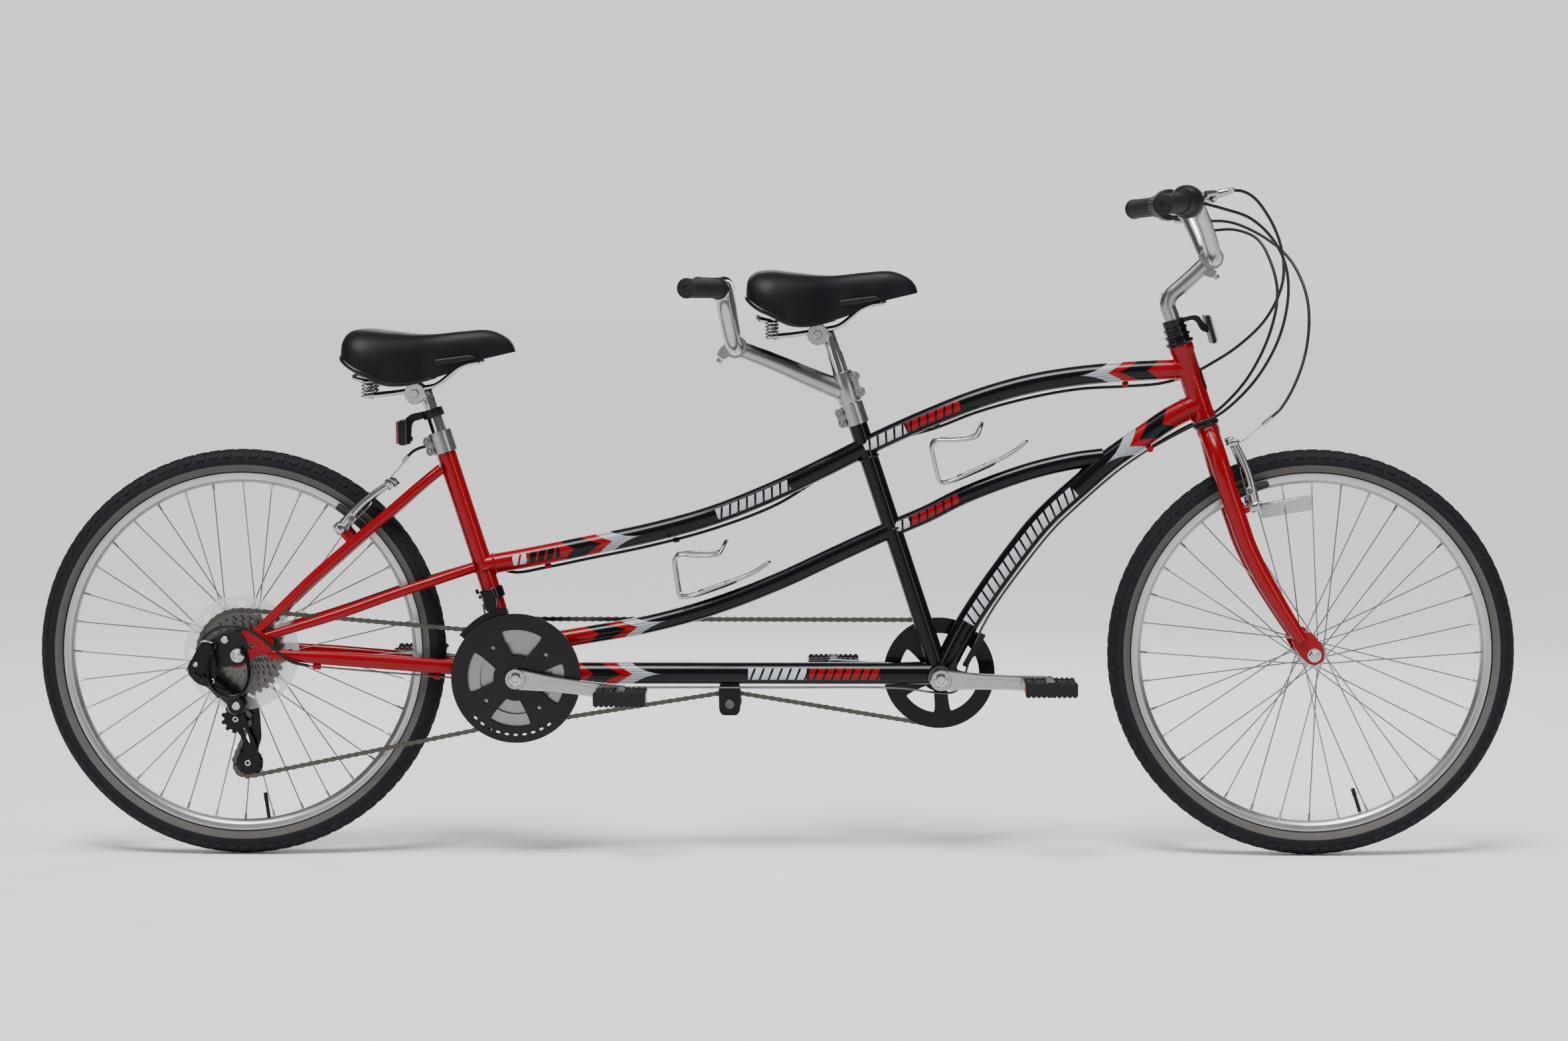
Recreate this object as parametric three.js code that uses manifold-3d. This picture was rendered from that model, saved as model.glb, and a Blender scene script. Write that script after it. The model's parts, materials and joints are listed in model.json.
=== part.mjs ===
// Tandem bicycle for two riders, in millimetres.
// +X points forward, +Y to the riders' left, +Z up. The origin is on the ground, halfway between the axles.
import * as THREE from "three";
import { mergeVertices } from "three/addons/utils/BufferGeometryUtils.js";
import Module from "manifold-3d";

const wasm = await Module();
wasm.setup();

// ---- driving dimensions ----
const wheel = { x: 852, z: 325, tyreRadius: 325, beadRadius: 286.5, rimInner: 270.5, spokes: 36, steps: 36 };
const head = { top: [642, 815], bottom: [682, 693], radius: 18, bore: 14.5 };
const stokerAxle = [-412, 288];
const captainAxle = [261, 287];
const rearSeat = { top: [-527, 643.5], foot: stokerAxle };
const frontSeat = { top: [129.5, 688.5], foot: captainAxle };
const tubes = { seat: 14.3, seatBore: 13, boom: 17.5, top: 16, middle: 14.3, down: 18.5, stay: 9 };
const post = { radius: 12.5, collarRadius: 17.5, collarBore: 13.1, inserted: 90 };
const crank = { length: 170, inner: 68, outer: 80, spindle: 8, stokerAngle: -7.5, captainAngle: -2 };
const chain = { pitch: 12.7, half: 4, halfWidth: 3.5, gap: 1 };
const teeth = { big: 42, middle: 34, small: 24, timing: 42, idler: 7, jockey: 11, sprockets: [34, 28, 24, 21, 18, 16, 14] };
const line = { middle: -47.5, ringStep: 7.5, sprocket: -33, sprocketStep: 4.9, timing: 48 };
const guide = [-861, 220];
const tension = [-842, 150];
const idlerAxle = [-75, 241];
const bar = { radius: 12.7, sides: 10 };
const rearDropout = 65.3;
const frontDropout = 50.3;
const gap = 0.3;

const paint = {
  red: [0xb01c28, 0.3, 0.1],
  silver: [0xc9cbce, 0.3, 0.9],
  chrome: [0xd8dadd, 0.12, 1],
  black: [0x1c1b22, 0.45, 0],
  rubber: [0x24242a, 0.85, 0],
  steel: [0x77716c, 0.4, 0.9],
  clear: [0xe6e6ea, 0.1, 0],
};

// ---- solids ----
const vec = (x, y, z) => new THREE.Vector3(x, y, z);
const degrees = (a) => (a * Math.PI) / 180;
const pitchRadius = (n) => chain.pitch / (2 * Math.sin(Math.PI / n));

function solid(geometry) {
  const bare = geometry.clone();
  bare.deleteAttribute("normal");
  bare.deleteAttribute("uv");
  const merged = mergeVertices(bare, 1e-4);
  const corners = [];
  for (let i = 0; i < merged.index.count; i += 3) {
    const [a, b, c] = merged.index.array.subarray(i, i + 3);
    if (a !== b && b !== c && c !== a) corners.push(a, b, c);
  }
  const vertProperties = merged.attributes.position.array;
  const make = (list) => new wasm.Manifold(new wasm.Mesh({ numProp: 3, vertProperties, triVerts: new Uint32Array(list) }));
  const made = make(corners);
  return made.volume() < 0 ? make(corners.reverse()) : made;
}

function geometryOf(body) {
  const mesh = body.simplify(0.06).getMesh();
  return new THREE.BufferGeometry()
    .setAttribute("position", new THREE.BufferAttribute(new Float32Array(mesh.vertProperties), 3))
    .setIndex(new THREE.BufferAttribute(new Uint32Array(mesh.triVerts), 1));
}

const join = (...list) => geometryOf(list.map(solid).reduce((a, b) => a.add(b)));
const cut = (base, ...tools) => geometryOf(tools.map(solid).reduce((a, b) => a.subtract(b), solid(base)));
const both = (a, b) => geometryOf(solid(a).intersect(solid(b)));
const mirrored = (geometry) => geometryOf(solid(geometry).mirror([0, 1, 0]));

// A straight round bar, tapered when endRadius differs; flat below 1 thins it sideways.
function rod(from, to, radius, sides = 12, endRadius = radius, flat = 1) {
  const [a, b] = [vec(...from), vec(...to)];
  const along = b.clone().sub(a);
  const shape = new THREE.CylinderGeometry(endRadius, radius, along.length(), sides);
  shape.scale(flat, 1, 1);
  shape.applyQuaternion(new THREE.Quaternion().setFromUnitVectors(vec(0, 1, 0), along.normalize()));
  const middle = a.add(b).multiplyScalar(0.5);
  return shape.translate(middle.x, middle.y, middle.z);
}

// A round bar along a smooth route; flat below 1 thins it in Y.
function bent(route, radius, sides = 8, steps = 16, flat = 1) {
  const path = new THREE.CatmullRomCurve3(route.map(([x, y, z]) => vec(x, y / flat, z)), false, "centripetal");
  const section = new THREE.Shape(
    Array.from({ length: sides }, (_, i) => {
      const a = (2 * Math.PI * i) / sides;
      return new THREE.Vector2(radius * Math.cos(a), radius * Math.sin(a));
    }),
  );
  return new THREE.ExtrudeGeometry(section, { steps, extrudePath: path, bevelEnabled: false }).scale(1, flat, 1);
}

// A solid of revolution: profile points are [radius, distance along the axis].
function turned(profile, centre = [0, 0, 0], axis = [0, 1, 0], segments = 24) {
  const shape = new THREE.LatheGeometry(profile.map(([r, h]) => new THREE.Vector2(r, h)), segments);
  shape.applyQuaternion(new THREE.Quaternion().setFromUnitVectors(vec(0, 1, 0), vec(...axis).normalize()));
  return geometryOf(solid(shape.translate(...centre)));
}

const disc = (radius, low, high, segments = 24) => turned([[0, low], [radius, low], [radius, high], [0, high]], [0, 0, 0], [0, 1, 0], segments);
const ring = (inner, outer, low, high, segments = 24) =>
  turned([[inner, low], [outer, low], [outer, high], [inner, high], [inner, low]], [0, 0, 0], [0, 1, 0], segments);

// A flat plate in the XZ plane between two heights along Y.
function plate(outline, low, high, holes = []) {
  const shape = new THREE.Shape(outline.map(([x, z]) => new THREE.Vector2(x, z)));
  holes.forEach((hole) => shape.holes.push(new THREE.Path(hole.map(([x, z]) => new THREE.Vector2(x, z)))));
  const made = new THREE.ExtrudeGeometry(shape, { depth: high - low, bevelEnabled: false });
  return made.rotateX(Math.PI / 2).translate(0, high, 0);
}

const block = (low, high) =>
  new THREE.BoxGeometry(high[0] - low[0], high[1] - low[1], high[2] - low[2]).translate(
    (low[0] + high[0]) / 2,
    (low[1] + high[1]) / 2,
    (low[2] + high[2]) / 2,
  );

const circle = ([x, z], radius, count = 12) =>
  Array.from({ length: count }, (_, i) => {
    const a = (2 * Math.PI * i) / count;
    return [x + radius * Math.cos(a), z + radius * Math.sin(a)];
  });

// A window between two radii, half wide to each side of an angle.
function sector(inner, outer, angle, half, count = 5) {
  const arc = (r, from, to) =>
    Array.from({ length: count }, (_, i) => {
      const a = degrees(angle + from + ((to - from) * i) / (count - 1));
      return [r * Math.cos(a), r * Math.sin(a)];
    });
  return [...arc(outer, -half, half), ...arc(inner, half * 0.7, -half * 0.7)];
}

// ---- the machine and its groups ----
const group = new THREE.Group();

function part(name, geometry, [color, roughness, metalness], owner = group) {
  const mesh = new THREE.Mesh(geometry, new THREE.MeshStandardMaterial({ color, roughness, metalness }));
  mesh.name = name;
  owner.add(mesh);
  return mesh;
}

function groupAt([x, z], angle = 0, owner = group) {
  const made = new THREE.Group();
  made.position.set(x, 0, z);
  made.rotation.y = -degrees(angle);
  owner.add(made);
  return made;
}

// The point and direction on a tube's axis, from its top end upwards.
function axisOf({ top, foot, bottom = foot }) {
  const up = vec(top[0] - bottom[0], 0, top[1] - bottom[1]).normalize();
  return { up: up.toArray(), at: (t, side = 0) => [top[0] + up.x * t, side, top[1] + up.z * t] };
}
const headAxis = axisOf(head);
const rearSeatAxis = axisOf(rearSeat);
const frontSeatAxis = axisOf(frontSeat);

// ---- frame ----
const topRoute = [
  [-466, 0, 463], [-400, 0, 475], [-300, 0, 495], [-200, 0, 516], [-100, 0, 544], [0, 0, 584], [80, 0, 622],
  [160, 0, 662], [240, 0, 698], [320, 0, 729.5], [400, 0, 752.5], [480, 0, 766], [560, 0, 773], [652, 0, 777],
];
const middleRoute = [
  [-427, 0, 331], [-300, 0, 352], [-200, 0, 370], [-100, 0, 398], [0, 0, 436.5], [100, 0, 483], [187, 0, 523],
  [240, 0, 546], [300, 0, 576], [400, 0, 613], [475, 0, 631], [520, 0, 637],
];
const downRoute = [
  [263, 0, 290], [290, 0, 345], [323, 0, 400], [379.5, 0, 480], [428, 0, 540], [493, 0, 600], [530, 0, 632],
  [587, 0, 672], [630, 0, 701], [672, 0, 722],
];
const seatStayRoute = [
  [-822, -62, 362], [-740, -52, 441], [-660, -40, 511], [-610, -33, 553], [-570, -24, 588], [-534, -12, 618],
];
const midStayRoute = [[-813, -62, 353], [-700, -50, 387], [-600, -38, 422], [-545, -31, 440], [-482, -12, 460]];
const rearDropoutOutline = [
  [-870, 350], [-845, 372], [-812, 368], [-788, 342], [-798, 318], [-832, 316], [-846, 298], [-864, 300], [-872, 322],
];
const hangerOutline = [[-906, 338], [-886, 356], [-850, 366], [-836, 345], [-838, 312], [-870, 306], [-896, 308]];
const bossLength = 32;
const rearBoss = [-672, 500];
const frontBoss = [728, 550];
const rearStudAxis = [-0.656, 0.755];
const frontStudAxis = [0.945, 0.327];

function shell([x, z]) {
  return turned([[9, -34], [20, -34], [20, 34], [9, 34], [9, -34]], [x, 0, z], [0, 1, 0], 16);
}

function stud([x, z], [ux, uz], side, reach) {
  return rod([x, side * 40, z], [x + ux * reach, side * 40, z + uz * reach], 5, 8);
}

function rearSide(side) {
  const low = side < 0 ? -rearDropout - 5.7 : rearDropout;
  const stay = ([x, y, z]) => [x, -side * y, z];
  return [
    bent(seatStayRoute.map(stay), tubes.stay, 8, 6),
    bent(midStayRoute.map(stay), tubes.stay, 8, 5),
    rod([-806, side * 67, 326], [-600, side * 43, 310], 7.5, 10, 11.5, 0.7),
    rod([-604, side * 43.4, 310.3], [-425, side * 25, 294], 11.5, 10, 13, 0.6),
    plate(rearDropoutOutline, low, low + 5.7, [circle([-wheel.x, wheel.z], 5.6)]),
    stud(rearBoss, rearStudAxis, side, bossLength - 8),
  ];
}

function frame() {
  const seatTube = (axis) => rod(axis.at(-370), axis.at(0), tubes.seat, 16);
  const bore = (axis) => rod(axis.at(-140), axis.at(5), tubes.seatBore, 16);
  const welded = join(
    rod(headAxis.at(-128.4), headAxis.at(0), head.radius, 16),
    seatTube(rearSeatAxis),
    rod(frontSeatAxis.at(-420), frontSeatAxis.at(0), tubes.seat, 16),
    bent(topRoute, tubes.top, 10, 12),
    bent(middleRoute, tubes.middle, 8, 10),
    bent(downRoute, tubes.down, 10, 9),
    rod([stokerAxle[0], 0, 290.5], [captainAxle[0], 0, 290.5], tubes.boom, 14),
    ...rearSide(1),
    ...rearSide(-1),
    rod([-596, -34, 566], [-596, 34, 566], 6, 8),
    rod([-506, -34, 303], [-506, 34, 303], 7, 8),
    plate(hangerOutline, -75, -70.5, [circle([-wheel.x, wheel.z], 5.6)]),
    plate([[-91, 222], [-59, 222], [-59, 280], [-91, 280]], 2, 8),
    turned([[0, 0], [20, 0], [20, 68], [0, 68]], [stokerAxle[0], -34, stokerAxle[1]], [0, 1, 0], 16),
    turned([[0, 0], [20, 0], [20, 68], [0, 68]], [captainAxle[0], -34, captainAxle[1]], [0, 1, 0], 16),
  );
  const drill = ([x, z]) => rod([x, -40, z], [x, 40, z], 9, 16);
  return cut(
    welded,
    rod(headAxis.at(-140), headAxis.at(12), head.bore, 16),
    bore(rearSeatAxis),
    bore(frontSeatAxis),
    drill(stokerAxle),
    drill(captainAxle),
  );
}
part("frame", frame(), paint.red);

// ---- seats: collars, posts, saddles ----
// A split collar with an ear for its two bolts behind the tube.
function collar(axis) {
  const length = 35;
  const ear = new THREE.BoxGeometry(13, 15, length - 4);
  const tilt = Math.atan2(axis.up[0], axis.up[2]);
  const [x, , z] = axis.at(length / 2 + gap);
  ear.translate(-21, 0, 0).rotateY(tilt).translate(x, 0, z);
  const sleeve = rod(axis.at(gap), axis.at(length), post.collarRadius, 16);
  return cut(join(sleeve, ear), rod(axis.at(-5), axis.at(length + 5), post.collarBore, 16));
}
part("rear_seat_clamp", collar(rearSeatAxis), paint.silver);
part("front_seat_clamp", collar(frontSeatAxis), paint.silver);

// Each post is necked below its saddle clamp.
function seatpost(axis, top) {
  return join(rod(axis.at(-post.inserted), axis.at(top - 40), post.radius, 16), rod(axis.at(top - 42), axis.at(top), 10.5, 16));
}
const rearPostTop = 104;
const frontPostTop = 158;
part("rear_seatpost", seatpost(rearSeatAxis, rearPostTop), paint.chrome);
part("front_seatpost", seatpost(frontSeatAxis, frontPostTop), paint.chrome);

const saddleSide = [
  [158, 66], [144, 88], [118, 100.5], [74, 99], [16, 94.5], [-36, 99], [-77, 103], [-104, 98], [-116, 84],
  [-120.5, 67], [-116, 55], [-91, 40], [-74, 32.5], [-43, 15], [-14, 13], [14, 18], [50, 28], [74, 43],
  [96, 51], [132, 61],
];
const saddleHalf = [[-121, 62], [-112, 84], [-85, 98], [-50, 97], [-10, 76], [25, 48], [70, 32], [120, 27], [148, 20], [158, 0]];

// The pad is hollow underneath, over the clamp and the rails. Its zero is the clamp's bolt.
function saddle() {
  const side = plate(saddleSide, -110, 110);
  const outline = [...saddleHalf, ...saddleHalf.slice(0, -1).reverse().map(([x, y]) => [x, -y])];
  const plan = new THREE.Shape(outline.map(([x, y]) => new THREE.Vector2(x, y)));
  const prism = new THREE.ExtrudeGeometry(plan, { depth: 140, bevelEnabled: false });
  return cut(both(side, prism), block([-66, -62, -10], [112, 62, 57]));
}

function saddleRails() {
  const half = (side) => [
    rod([0, side * 14, 0], [0, side * 28, 0], 17, 12),
    bent([[0, 22, 8], [14, 22, 8], [34, 21, 14], [74, 15, 44], [100, 10, 50]].map(([x, y, z]) => [x, side * y, z]), 3.5, 4, 5),
    bent([[-4, 22, 6], [-30, 25, 2], [-72, 42, -2]].map(([x, y, z]) => [x, side * y, z]), 3.5, 4, 3),
    rod([-73, side * 42, -6], [-73, side * 42, 20], 10, 8),
  ];
  return join(...half(1), ...half(-1), rod([0, -30, 0], [0, 30, 0], 3, 8), rod([100, -11, 50], [100, 11, 50], 3.5, 6));
}
for (const [name, place] of [["rear", [-574, 738]], ["front", [66, 831.5]]]) {
  const seat = groupAt(place);
  part(name + "_saddle", saddle(), paint.black, seat);
  part(name + "_saddle_rails", saddleRails(), paint.chrome, seat);
}

function rearReflector() {
  const clamp = rod(rearSeatAxis.at(59), rearSeatAxis.at(73), 17, 12);
  const hole = rod(rearSeatAxis.at(50), rearSeatAxis.at(80), 13, 12);
  const arm = plate([[-560, 712], [-582, 704], [-592, 698], [-590, 686], [-580, 692], [-558, 698]], -6, 6);
  return cut(join(clamp, arm, block([-604, -37, 650], [-583, 37, 693])), hole);
}
part("rear_reflector", rearReflector(), paint.black);

// ---- stoker's stem and bar ----
const stokerClamp = [-65, 812];
function stokerStem() {
  const sleeve = rod(frontSeatAxis.at(36.3), frontSeatAxis.at(87), 17.5, 16);
  const lugs = [[124, 765], [133, 741]].map(([x, z]) => rod([x, -13, z], [x, 13, z], 8.5, 10));
  const web = plate([[108, 770], [126, 770], [136, 738], [122, 728]], -12, 12);
  return cut(
    join(sleeve, web, ...lugs, rod([103, 0, 743], [-56, 0, 808.5], 16.5, 12, 12), clampRing(stokerClamp, 20)),
    rod(frontSeatAxis.at(30), frontSeatAxis.at(95), post.collarBore, 16),
    rod([stokerClamp[0], -30, stokerClamp[1]], [stokerClamp[0], 30, stokerClamp[1]], bar.radius + 0.4, 16),
  );
}
function clampRing([x, z], half) {
  return rod([x, -half, z], [x, half, z], 17.5, 16);
}
part("stoker_stem", stokerStem(), paint.silver);

const stokerGrip = { start: [-84, 165, 905.5], along: [-0.38, 0.925, 0.01], from: 10, end: 133, radius: 15.5 };
const captainGrip = { start: [650, 145, 1041], along: [-0.361, 0.932, -0.041], end: 171, radius: 16.2 };
const stokerBarRoute = [[-65, 30, 812], [-65, 44, 812], [-68, 64, 819], [-75, 92, 852], [-81, 120, 887], [-83, 142, 902]];
const captainBarRoute = [[690, 30, 953], [690, 44, 953], [686, 66, 962], [672, 98, 999], [658, 122, 1028]];

const onGrip = (grip, s, side) => grip.start.map((v, i) => (v + grip.along[i] * s) * (i === 1 ? side : 1));

function halfBar(route, grip, side, end) {
  const points = [...route, onGrip(grip, -4, 1), onGrip(grip, 6, 1)].map(([x, y, z]) => [x, side * y, z]);
  const [x, y, z] = points[0];
  return join(
    rod([x, 0, z], [x, y * 1.1, z], bar.radius, bar.sides),
    bent(points, bar.radius, bar.sides, 8),
    rod(onGrip(grip, 3, side), onGrip(grip, end, side), bar.radius, bar.sides),
  );
}
const fatEnds = [1, -1].map((side) => rod(onGrip(stokerGrip, stokerGrip.from, side), onGrip(stokerGrip, stokerGrip.end, side), 15.5, 12));
const stokerHalves = [1, -1].map((side) => halfBar(stokerBarRoute, stokerGrip, side, stokerGrip.end - 5));
part("stoker_handlebar", join(...stokerHalves, ...fatEnds), paint.silver);

// ---- steering: fork, stem, handlebar and controls ----
const bladeRoute = [
  [686, 6, 683], [691, 24, 664], [697.5, 37, 643], [705, 43, 618], [717, 45, 580], [731, 46, 540], [745, 47, 500],
  [764, 48, 460], [787, 50, 420], [811, 51.5, 381], [833, 52.5, 347],
];
const frontDropoutOutline = [[815, 350], [845, 366], [868, 336], [868, 316], [852, 308], [838, 314], [822, 335]];

function fork() {
  const side = (s) => [
    bent(bladeRoute.map(([x, y, z]) => [x, s * y, z]), 14.5, 8, 10, 0.78),
    plate(
      frontDropoutOutline,
      s < 0 ? -frontDropout - 5 : frontDropout,
      s < 0 ? -frontDropout : frontDropout + 5,
      [circle([wheel.x, wheel.z], 5.6)],
    ),
    stud(frontBoss, frontStudAxis, s, bossLength - 8),
  ];
  const steerer = rod(headAxis.at(-150), headAxis.at(28), 12.7, 16);
  const solidFork = join(steerer, rod(headAxis.at(-150), headAxis.at(-129.5), 17, 12), ...side(1), ...side(-1));
  return cut(solidFork, rod(headAxis.at(-90), headAxis.at(40), 11.4, 16));
}
part("fork", fork(), paint.red);

const stemClamp = [690, 953];
function stem() {
  const bend = headAxis.at(73.7);
  const quill = rod(headAxis.at(-75), bend, 10.8, 16);
  const knee = new THREE.SphereGeometry(12.4, 12, 8).translate(...bend);
  const ear = plate([[674, 944], [690, 940], [700, 932], [690, 922], [676, 930]], -10, 10);
  return cut(
    join(quill, rod(headAxis.at(45), bend, 12, 16), knee, rod(bend, [684, 0, 947], 12.4, 16), ear, clampRing(stemClamp, 20)),
    rod([stemClamp[0], -30, stemClamp[1]], [stemClamp[0], 30, stemClamp[1]], bar.radius + 0.4, 16),
  );
}
part("stem", stem(), paint.silver);
part("handlebar", join(...[1, -1].map((side) => halfBar(captainBarRoute, captainGrip, side, captainGrip.end - 4))), paint.silver);

// Directions around a captain's grip: forwards, turned up by a tilt, and the lever's pin.
function gripFrame(side, tilt) {
  const along = vec(captainGrip.along[0], side * captainGrip.along[1], captainGrip.along[2]);
  const level = vec(0.932, side * 0.361, 0);
  const up = level.clone().cross(along).multiplyScalar(side).normalize();
  const ahead = level.multiplyScalar(Math.cos(degrees(tilt))).add(up.multiplyScalar(Math.sin(degrees(tilt))));
  const at = (s, forward) => vec(...onGrip(captainGrip, s, side)).addScaledVector(ahead, forward).toArray();
  return { along: along.toArray(), at };
}
const sleeveOn = (grip, side, from, to, inner, outer) => {
  const direction = grip.along.map((v, i) => v * (i === 1 ? side : 1));
  return turned([[inner, from], [outer, from], [outer, to], [inner, to], [inner, from]], onGrip(grip, 0, side), direction, 16);
};
const controls = [["left", 1, -25], ["right", -1, 15]];
const barBore = bar.radius + 0.5;
for (const [name, side, tilt] of controls) {
  const { at } = gripFrame(side, tilt);
  const perch = cut(
    join(sleeveOn(captainGrip, side, 10, 26, barBore, 17.5), rod(at(18, 15), at(12, 46), 8, 8), rod(at(12, 44), at(6, 62), 6, 8)),
    rod(onGrip(captainGrip, 0, side), onGrip(captainGrip, 40, side), barBore, 16),
  );
  part(name + "_lever_perch", perch, paint.silver);
  part(name + "_brake_lever", bent([at(26, 41), at(42, 49), at(75, 56), at(110, 50)], 4.5, 8, 8), paint.silver);
  const knob = turned(
    [[barBore, 29], [25, 29], [26, 50], [18.5, 57], [18, 77], [barBore, 77], [barBore, 29]],
    onGrip(captainGrip, 0, side),
    captainGrip.along.map((v, i) => v * (i === 1 ? side : 1)),
    20,
  );
  part(name + "_twist_shifter", knob, paint.black);
  part(name + "_grip", sleeveOn(captainGrip, side, 78, captainGrip.end, barBore, captainGrip.radius), paint.rubber);
}

function frontReflector() {
  const clamp = rod(headAxis.at(31), headAxis.at(42), 16.5, 12);
  const arm = plate([[643, 850], [660, 855.5], [672, 842], [688, 839], [688, 850], [677, 852], [668, 866], [641, 857.5]], -6, 6);
  const lens = new THREE.BoxGeometry(9, 74, 46).rotateY(degrees(-16)).translate(689, 0, 841);
  return cut(join(clamp, arm, lens), rod(headAxis.at(20), headAxis.at(50), 12.5, 12));
}
part("front_reflector", frontReflector(), paint.black);

// ---- rim brakes ----
// An arm turns on its stud and carries a pad at the rim's radius.
function brakeArm([x, z], [ux, uz], side, axle) {
  const start = bossLength - 7.7;
  const middle = start + 7;
  const up = ux > 0 ? [-uz, ux] : [uz, -ux];
  const at = (t, h, y) => [x + ux * t + up[0] * h, side * y, z + uz * t + up[1] * h];
  const radial = vec(x + ux * middle + up[0] * 26 - axle, 0, z + uz * middle + up[1] * 26 - wheel.z).normalize();
  const rest = [axle + radial.x * 279, 0, wheel.z + radial.z * 279];
  const pad = (y) => [-30, 30].map((s) => [rest[0] - radial.z * s, side * y, rest[2] + radial.x * s]);
  return join(
    rod(at(start, 0, 40), at(start + 14, 0, 40), 8.5, 10),
    rod(at(middle, -2, 39), at(middle, 108, 33), 6.5, 8, 5),
    rod([rest[0], side * 16, rest[2]], at(middle, 26, 40), 5, 8),
    rod(...pad(19.5), 5.2, 8),
  );
}
for (const [name, side] of [["left", 1], ["right", -1]]) {
  part("front_brake_arm_" + name, brakeArm(frontBoss, frontStudAxis, side, wheel.x), paint.silver);
  part("rear_brake_arm_" + name, brakeArm(rearBoss, rearStudAxis, side, -wheel.x), paint.silver);
}

// ---- wheels ----
function tyre() {
  const half = [[wheel.beadRadius, 10.5], [296, 20], [308, 23], [320, 15.5]];
  const profile = [...half, [wheel.tyreRadius, 0], ...half.toReversed().map(([r, y]) => [r, -y]), half[0]];
  return turned(profile, [0, 0, 0], [0, 1, 0], wheel.steps);
}

// Hub, laced spokes and rim are one built wheel. Flanges are at the two ends of the hub.
function builtWheel(flanges, hubProfile) {
  const rimProfile = [[286.2, -12], [286.2, 12], [278, 12], [wheel.rimInner, 5], [wheel.rimInner, -5], [278, -12], [286.2, -12]];
  const spokes = [];
  flanges.forEach(({ y, radius }, flange) => {
    for (let i = 0; i < wheel.spokes / 2; i += 1) {
      const rimAngle = degrees((360 / wheel.spokes) * (2 * i + flange));
      const leading = i % 2 === 0 ? 1 : -1;
      const hubAngle = rimAngle + degrees(62 * leading);
      const seatY = y + leading * 2.2;
      spokes.push(
        rod(
          [radius * Math.sin(hubAngle), seatY, radius * Math.cos(hubAngle)],
          [273 * Math.sin(rimAngle), flange ? -2 : 2, 273 * Math.cos(rimAngle)],
          1.3,
          3,
        ),
      );
    }
  });
  return join(turned(rimProfile, [0, 0, 0], [0, 1, 0], wheel.steps), turned(hubProfile, [0, 0, 0], [0, 1, 0], 12), ...spokes);
}
const frontHub = [
  [5.6, -49.8], [9, -49.8], [10, -37], [22, -37], [22, -30], [11, -28], [11, 28], [22, 30], [22, 37], [10, 37], [9, 49.8],
  [5.6, 49.8], [5.6, -49.8],
];
const rearHub = [
  [5.6, -24.5], [27, -22], [27, -14], [12, -12], [12, 30], [25, 32], [25, 39], [12, 40], [9, 64.8], [5.6, 64.8], [5.6, -24.5],
];
const frontWheel = groupAt([wheel.x, wheel.z]);
part("front_tyre", tyre(), paint.rubber, frontWheel);
part("front_wheel", builtWheel([{ y: 33.5, radius: 18 }, { y: -33.5, radius: 18 }], frontHub), paint.silver, frontWheel);
const rearWheel = groupAt([-wheel.x, wheel.z]);
part("rear_tyre", tyre(), paint.rubber, rearWheel);
part("rear_wheel", builtWheel([{ y: 35.5, radius: 21 }, { y: -18, radius: 22 }], rearHub), paint.silver, rearWheel);

// An axle with a nut outside each dropout.
function axle(left, right) {
  const nut = (from, to) => rod([0, from, 0], [0, to, 0], 9, 6);
  return join(rod([0, -right - 10, 0], [0, left + 10, 0], 4.8, 10), nut(left + gap, left + 8), nut(-right - 8, -right - gap));
}
part("front_axle", axle(frontDropout + 5, frontDropout + 5), paint.chrome, frontWheel);
part("rear_axle", axle(rearDropout + 5.7, 75), paint.chrome, rearWheel);

function cassette() {
  const bore = 6;
  const profile = [[bore, line.sprocket + 1.5]];
  teeth.sprockets.forEach((count, i) => {
    const y = line.sprocket - i * line.sprocketStep;
    const radius = i === 0 ? pitchRadius(count) - chain.half - chain.gap : pitchRadius(count) + 3.5;
    profile.push([radius, y + 1], [radius, y - 1]);
    if (i < teeth.sprockets.length - 1) {
      const neck = pitchRadius(teeth.sprockets[i + 1]) - 8;
      profile.push([neck, y - 1], [neck, y - line.sprocketStep + 1]);
    }
  });
  const last = line.sprocket - 6 * line.sprocketStep - 1;
  profile.push([bore, last], [bore, line.sprocket + 1.5]);
  return turned(profile, [0, 0, 0], [0, 1, 0], 20);
}
part("cassette", cassette(), paint.steel, rearWheel);

// ---- cranks, rings and pedals ----
function crankArm(side) {
  const outline = [];
  const arc = (x, r, from, to) => {
    for (let i = 0; i <= 6; i += 1) {
      const a = degrees(from + ((to - from) * i) / 6);
      outline.push([x + r * Math.cos(a), r * Math.sin(a)]);
    }
  };
  arc(0, 17, 86, 274);
  arc(crank.length, 13, -86, 86);
  const [low, high] = side < 0 ? [-crank.outer, -crank.inner] : [crank.inner, crank.outer];
  return join(plate(outline, low, high), rod([0, side * 59, 0], [0, side * 82, 0], 15.5, 16));
}

function rings() {
  const bore = 9;
  const middleY = line.middle;
  const profile = [
    [bore, -38], [26, -38], [26, -39], [pitchRadius(teeth.small) + 4, -39], [pitchRadius(teeth.small) + 4, -41],
    [38, -41], [38, middleY + 1.2], [pitchRadius(teeth.middle) - chain.half - chain.gap, middleY + 1.2],
    [pitchRadius(teeth.middle) - chain.half - chain.gap, middleY - 1.2], [58, middleY - 1.2], [58, -53.8],
    [pitchRadius(teeth.big) + 4, -53.8], [pitchRadius(teeth.big) + 4, -56.2], [40, -56.2], [40, -58.5], [bore, -58.5],
    [bore, -38],
  ];
  return turned(profile, [0, 0, 0], [0, 1, 0], 28);
}

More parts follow.
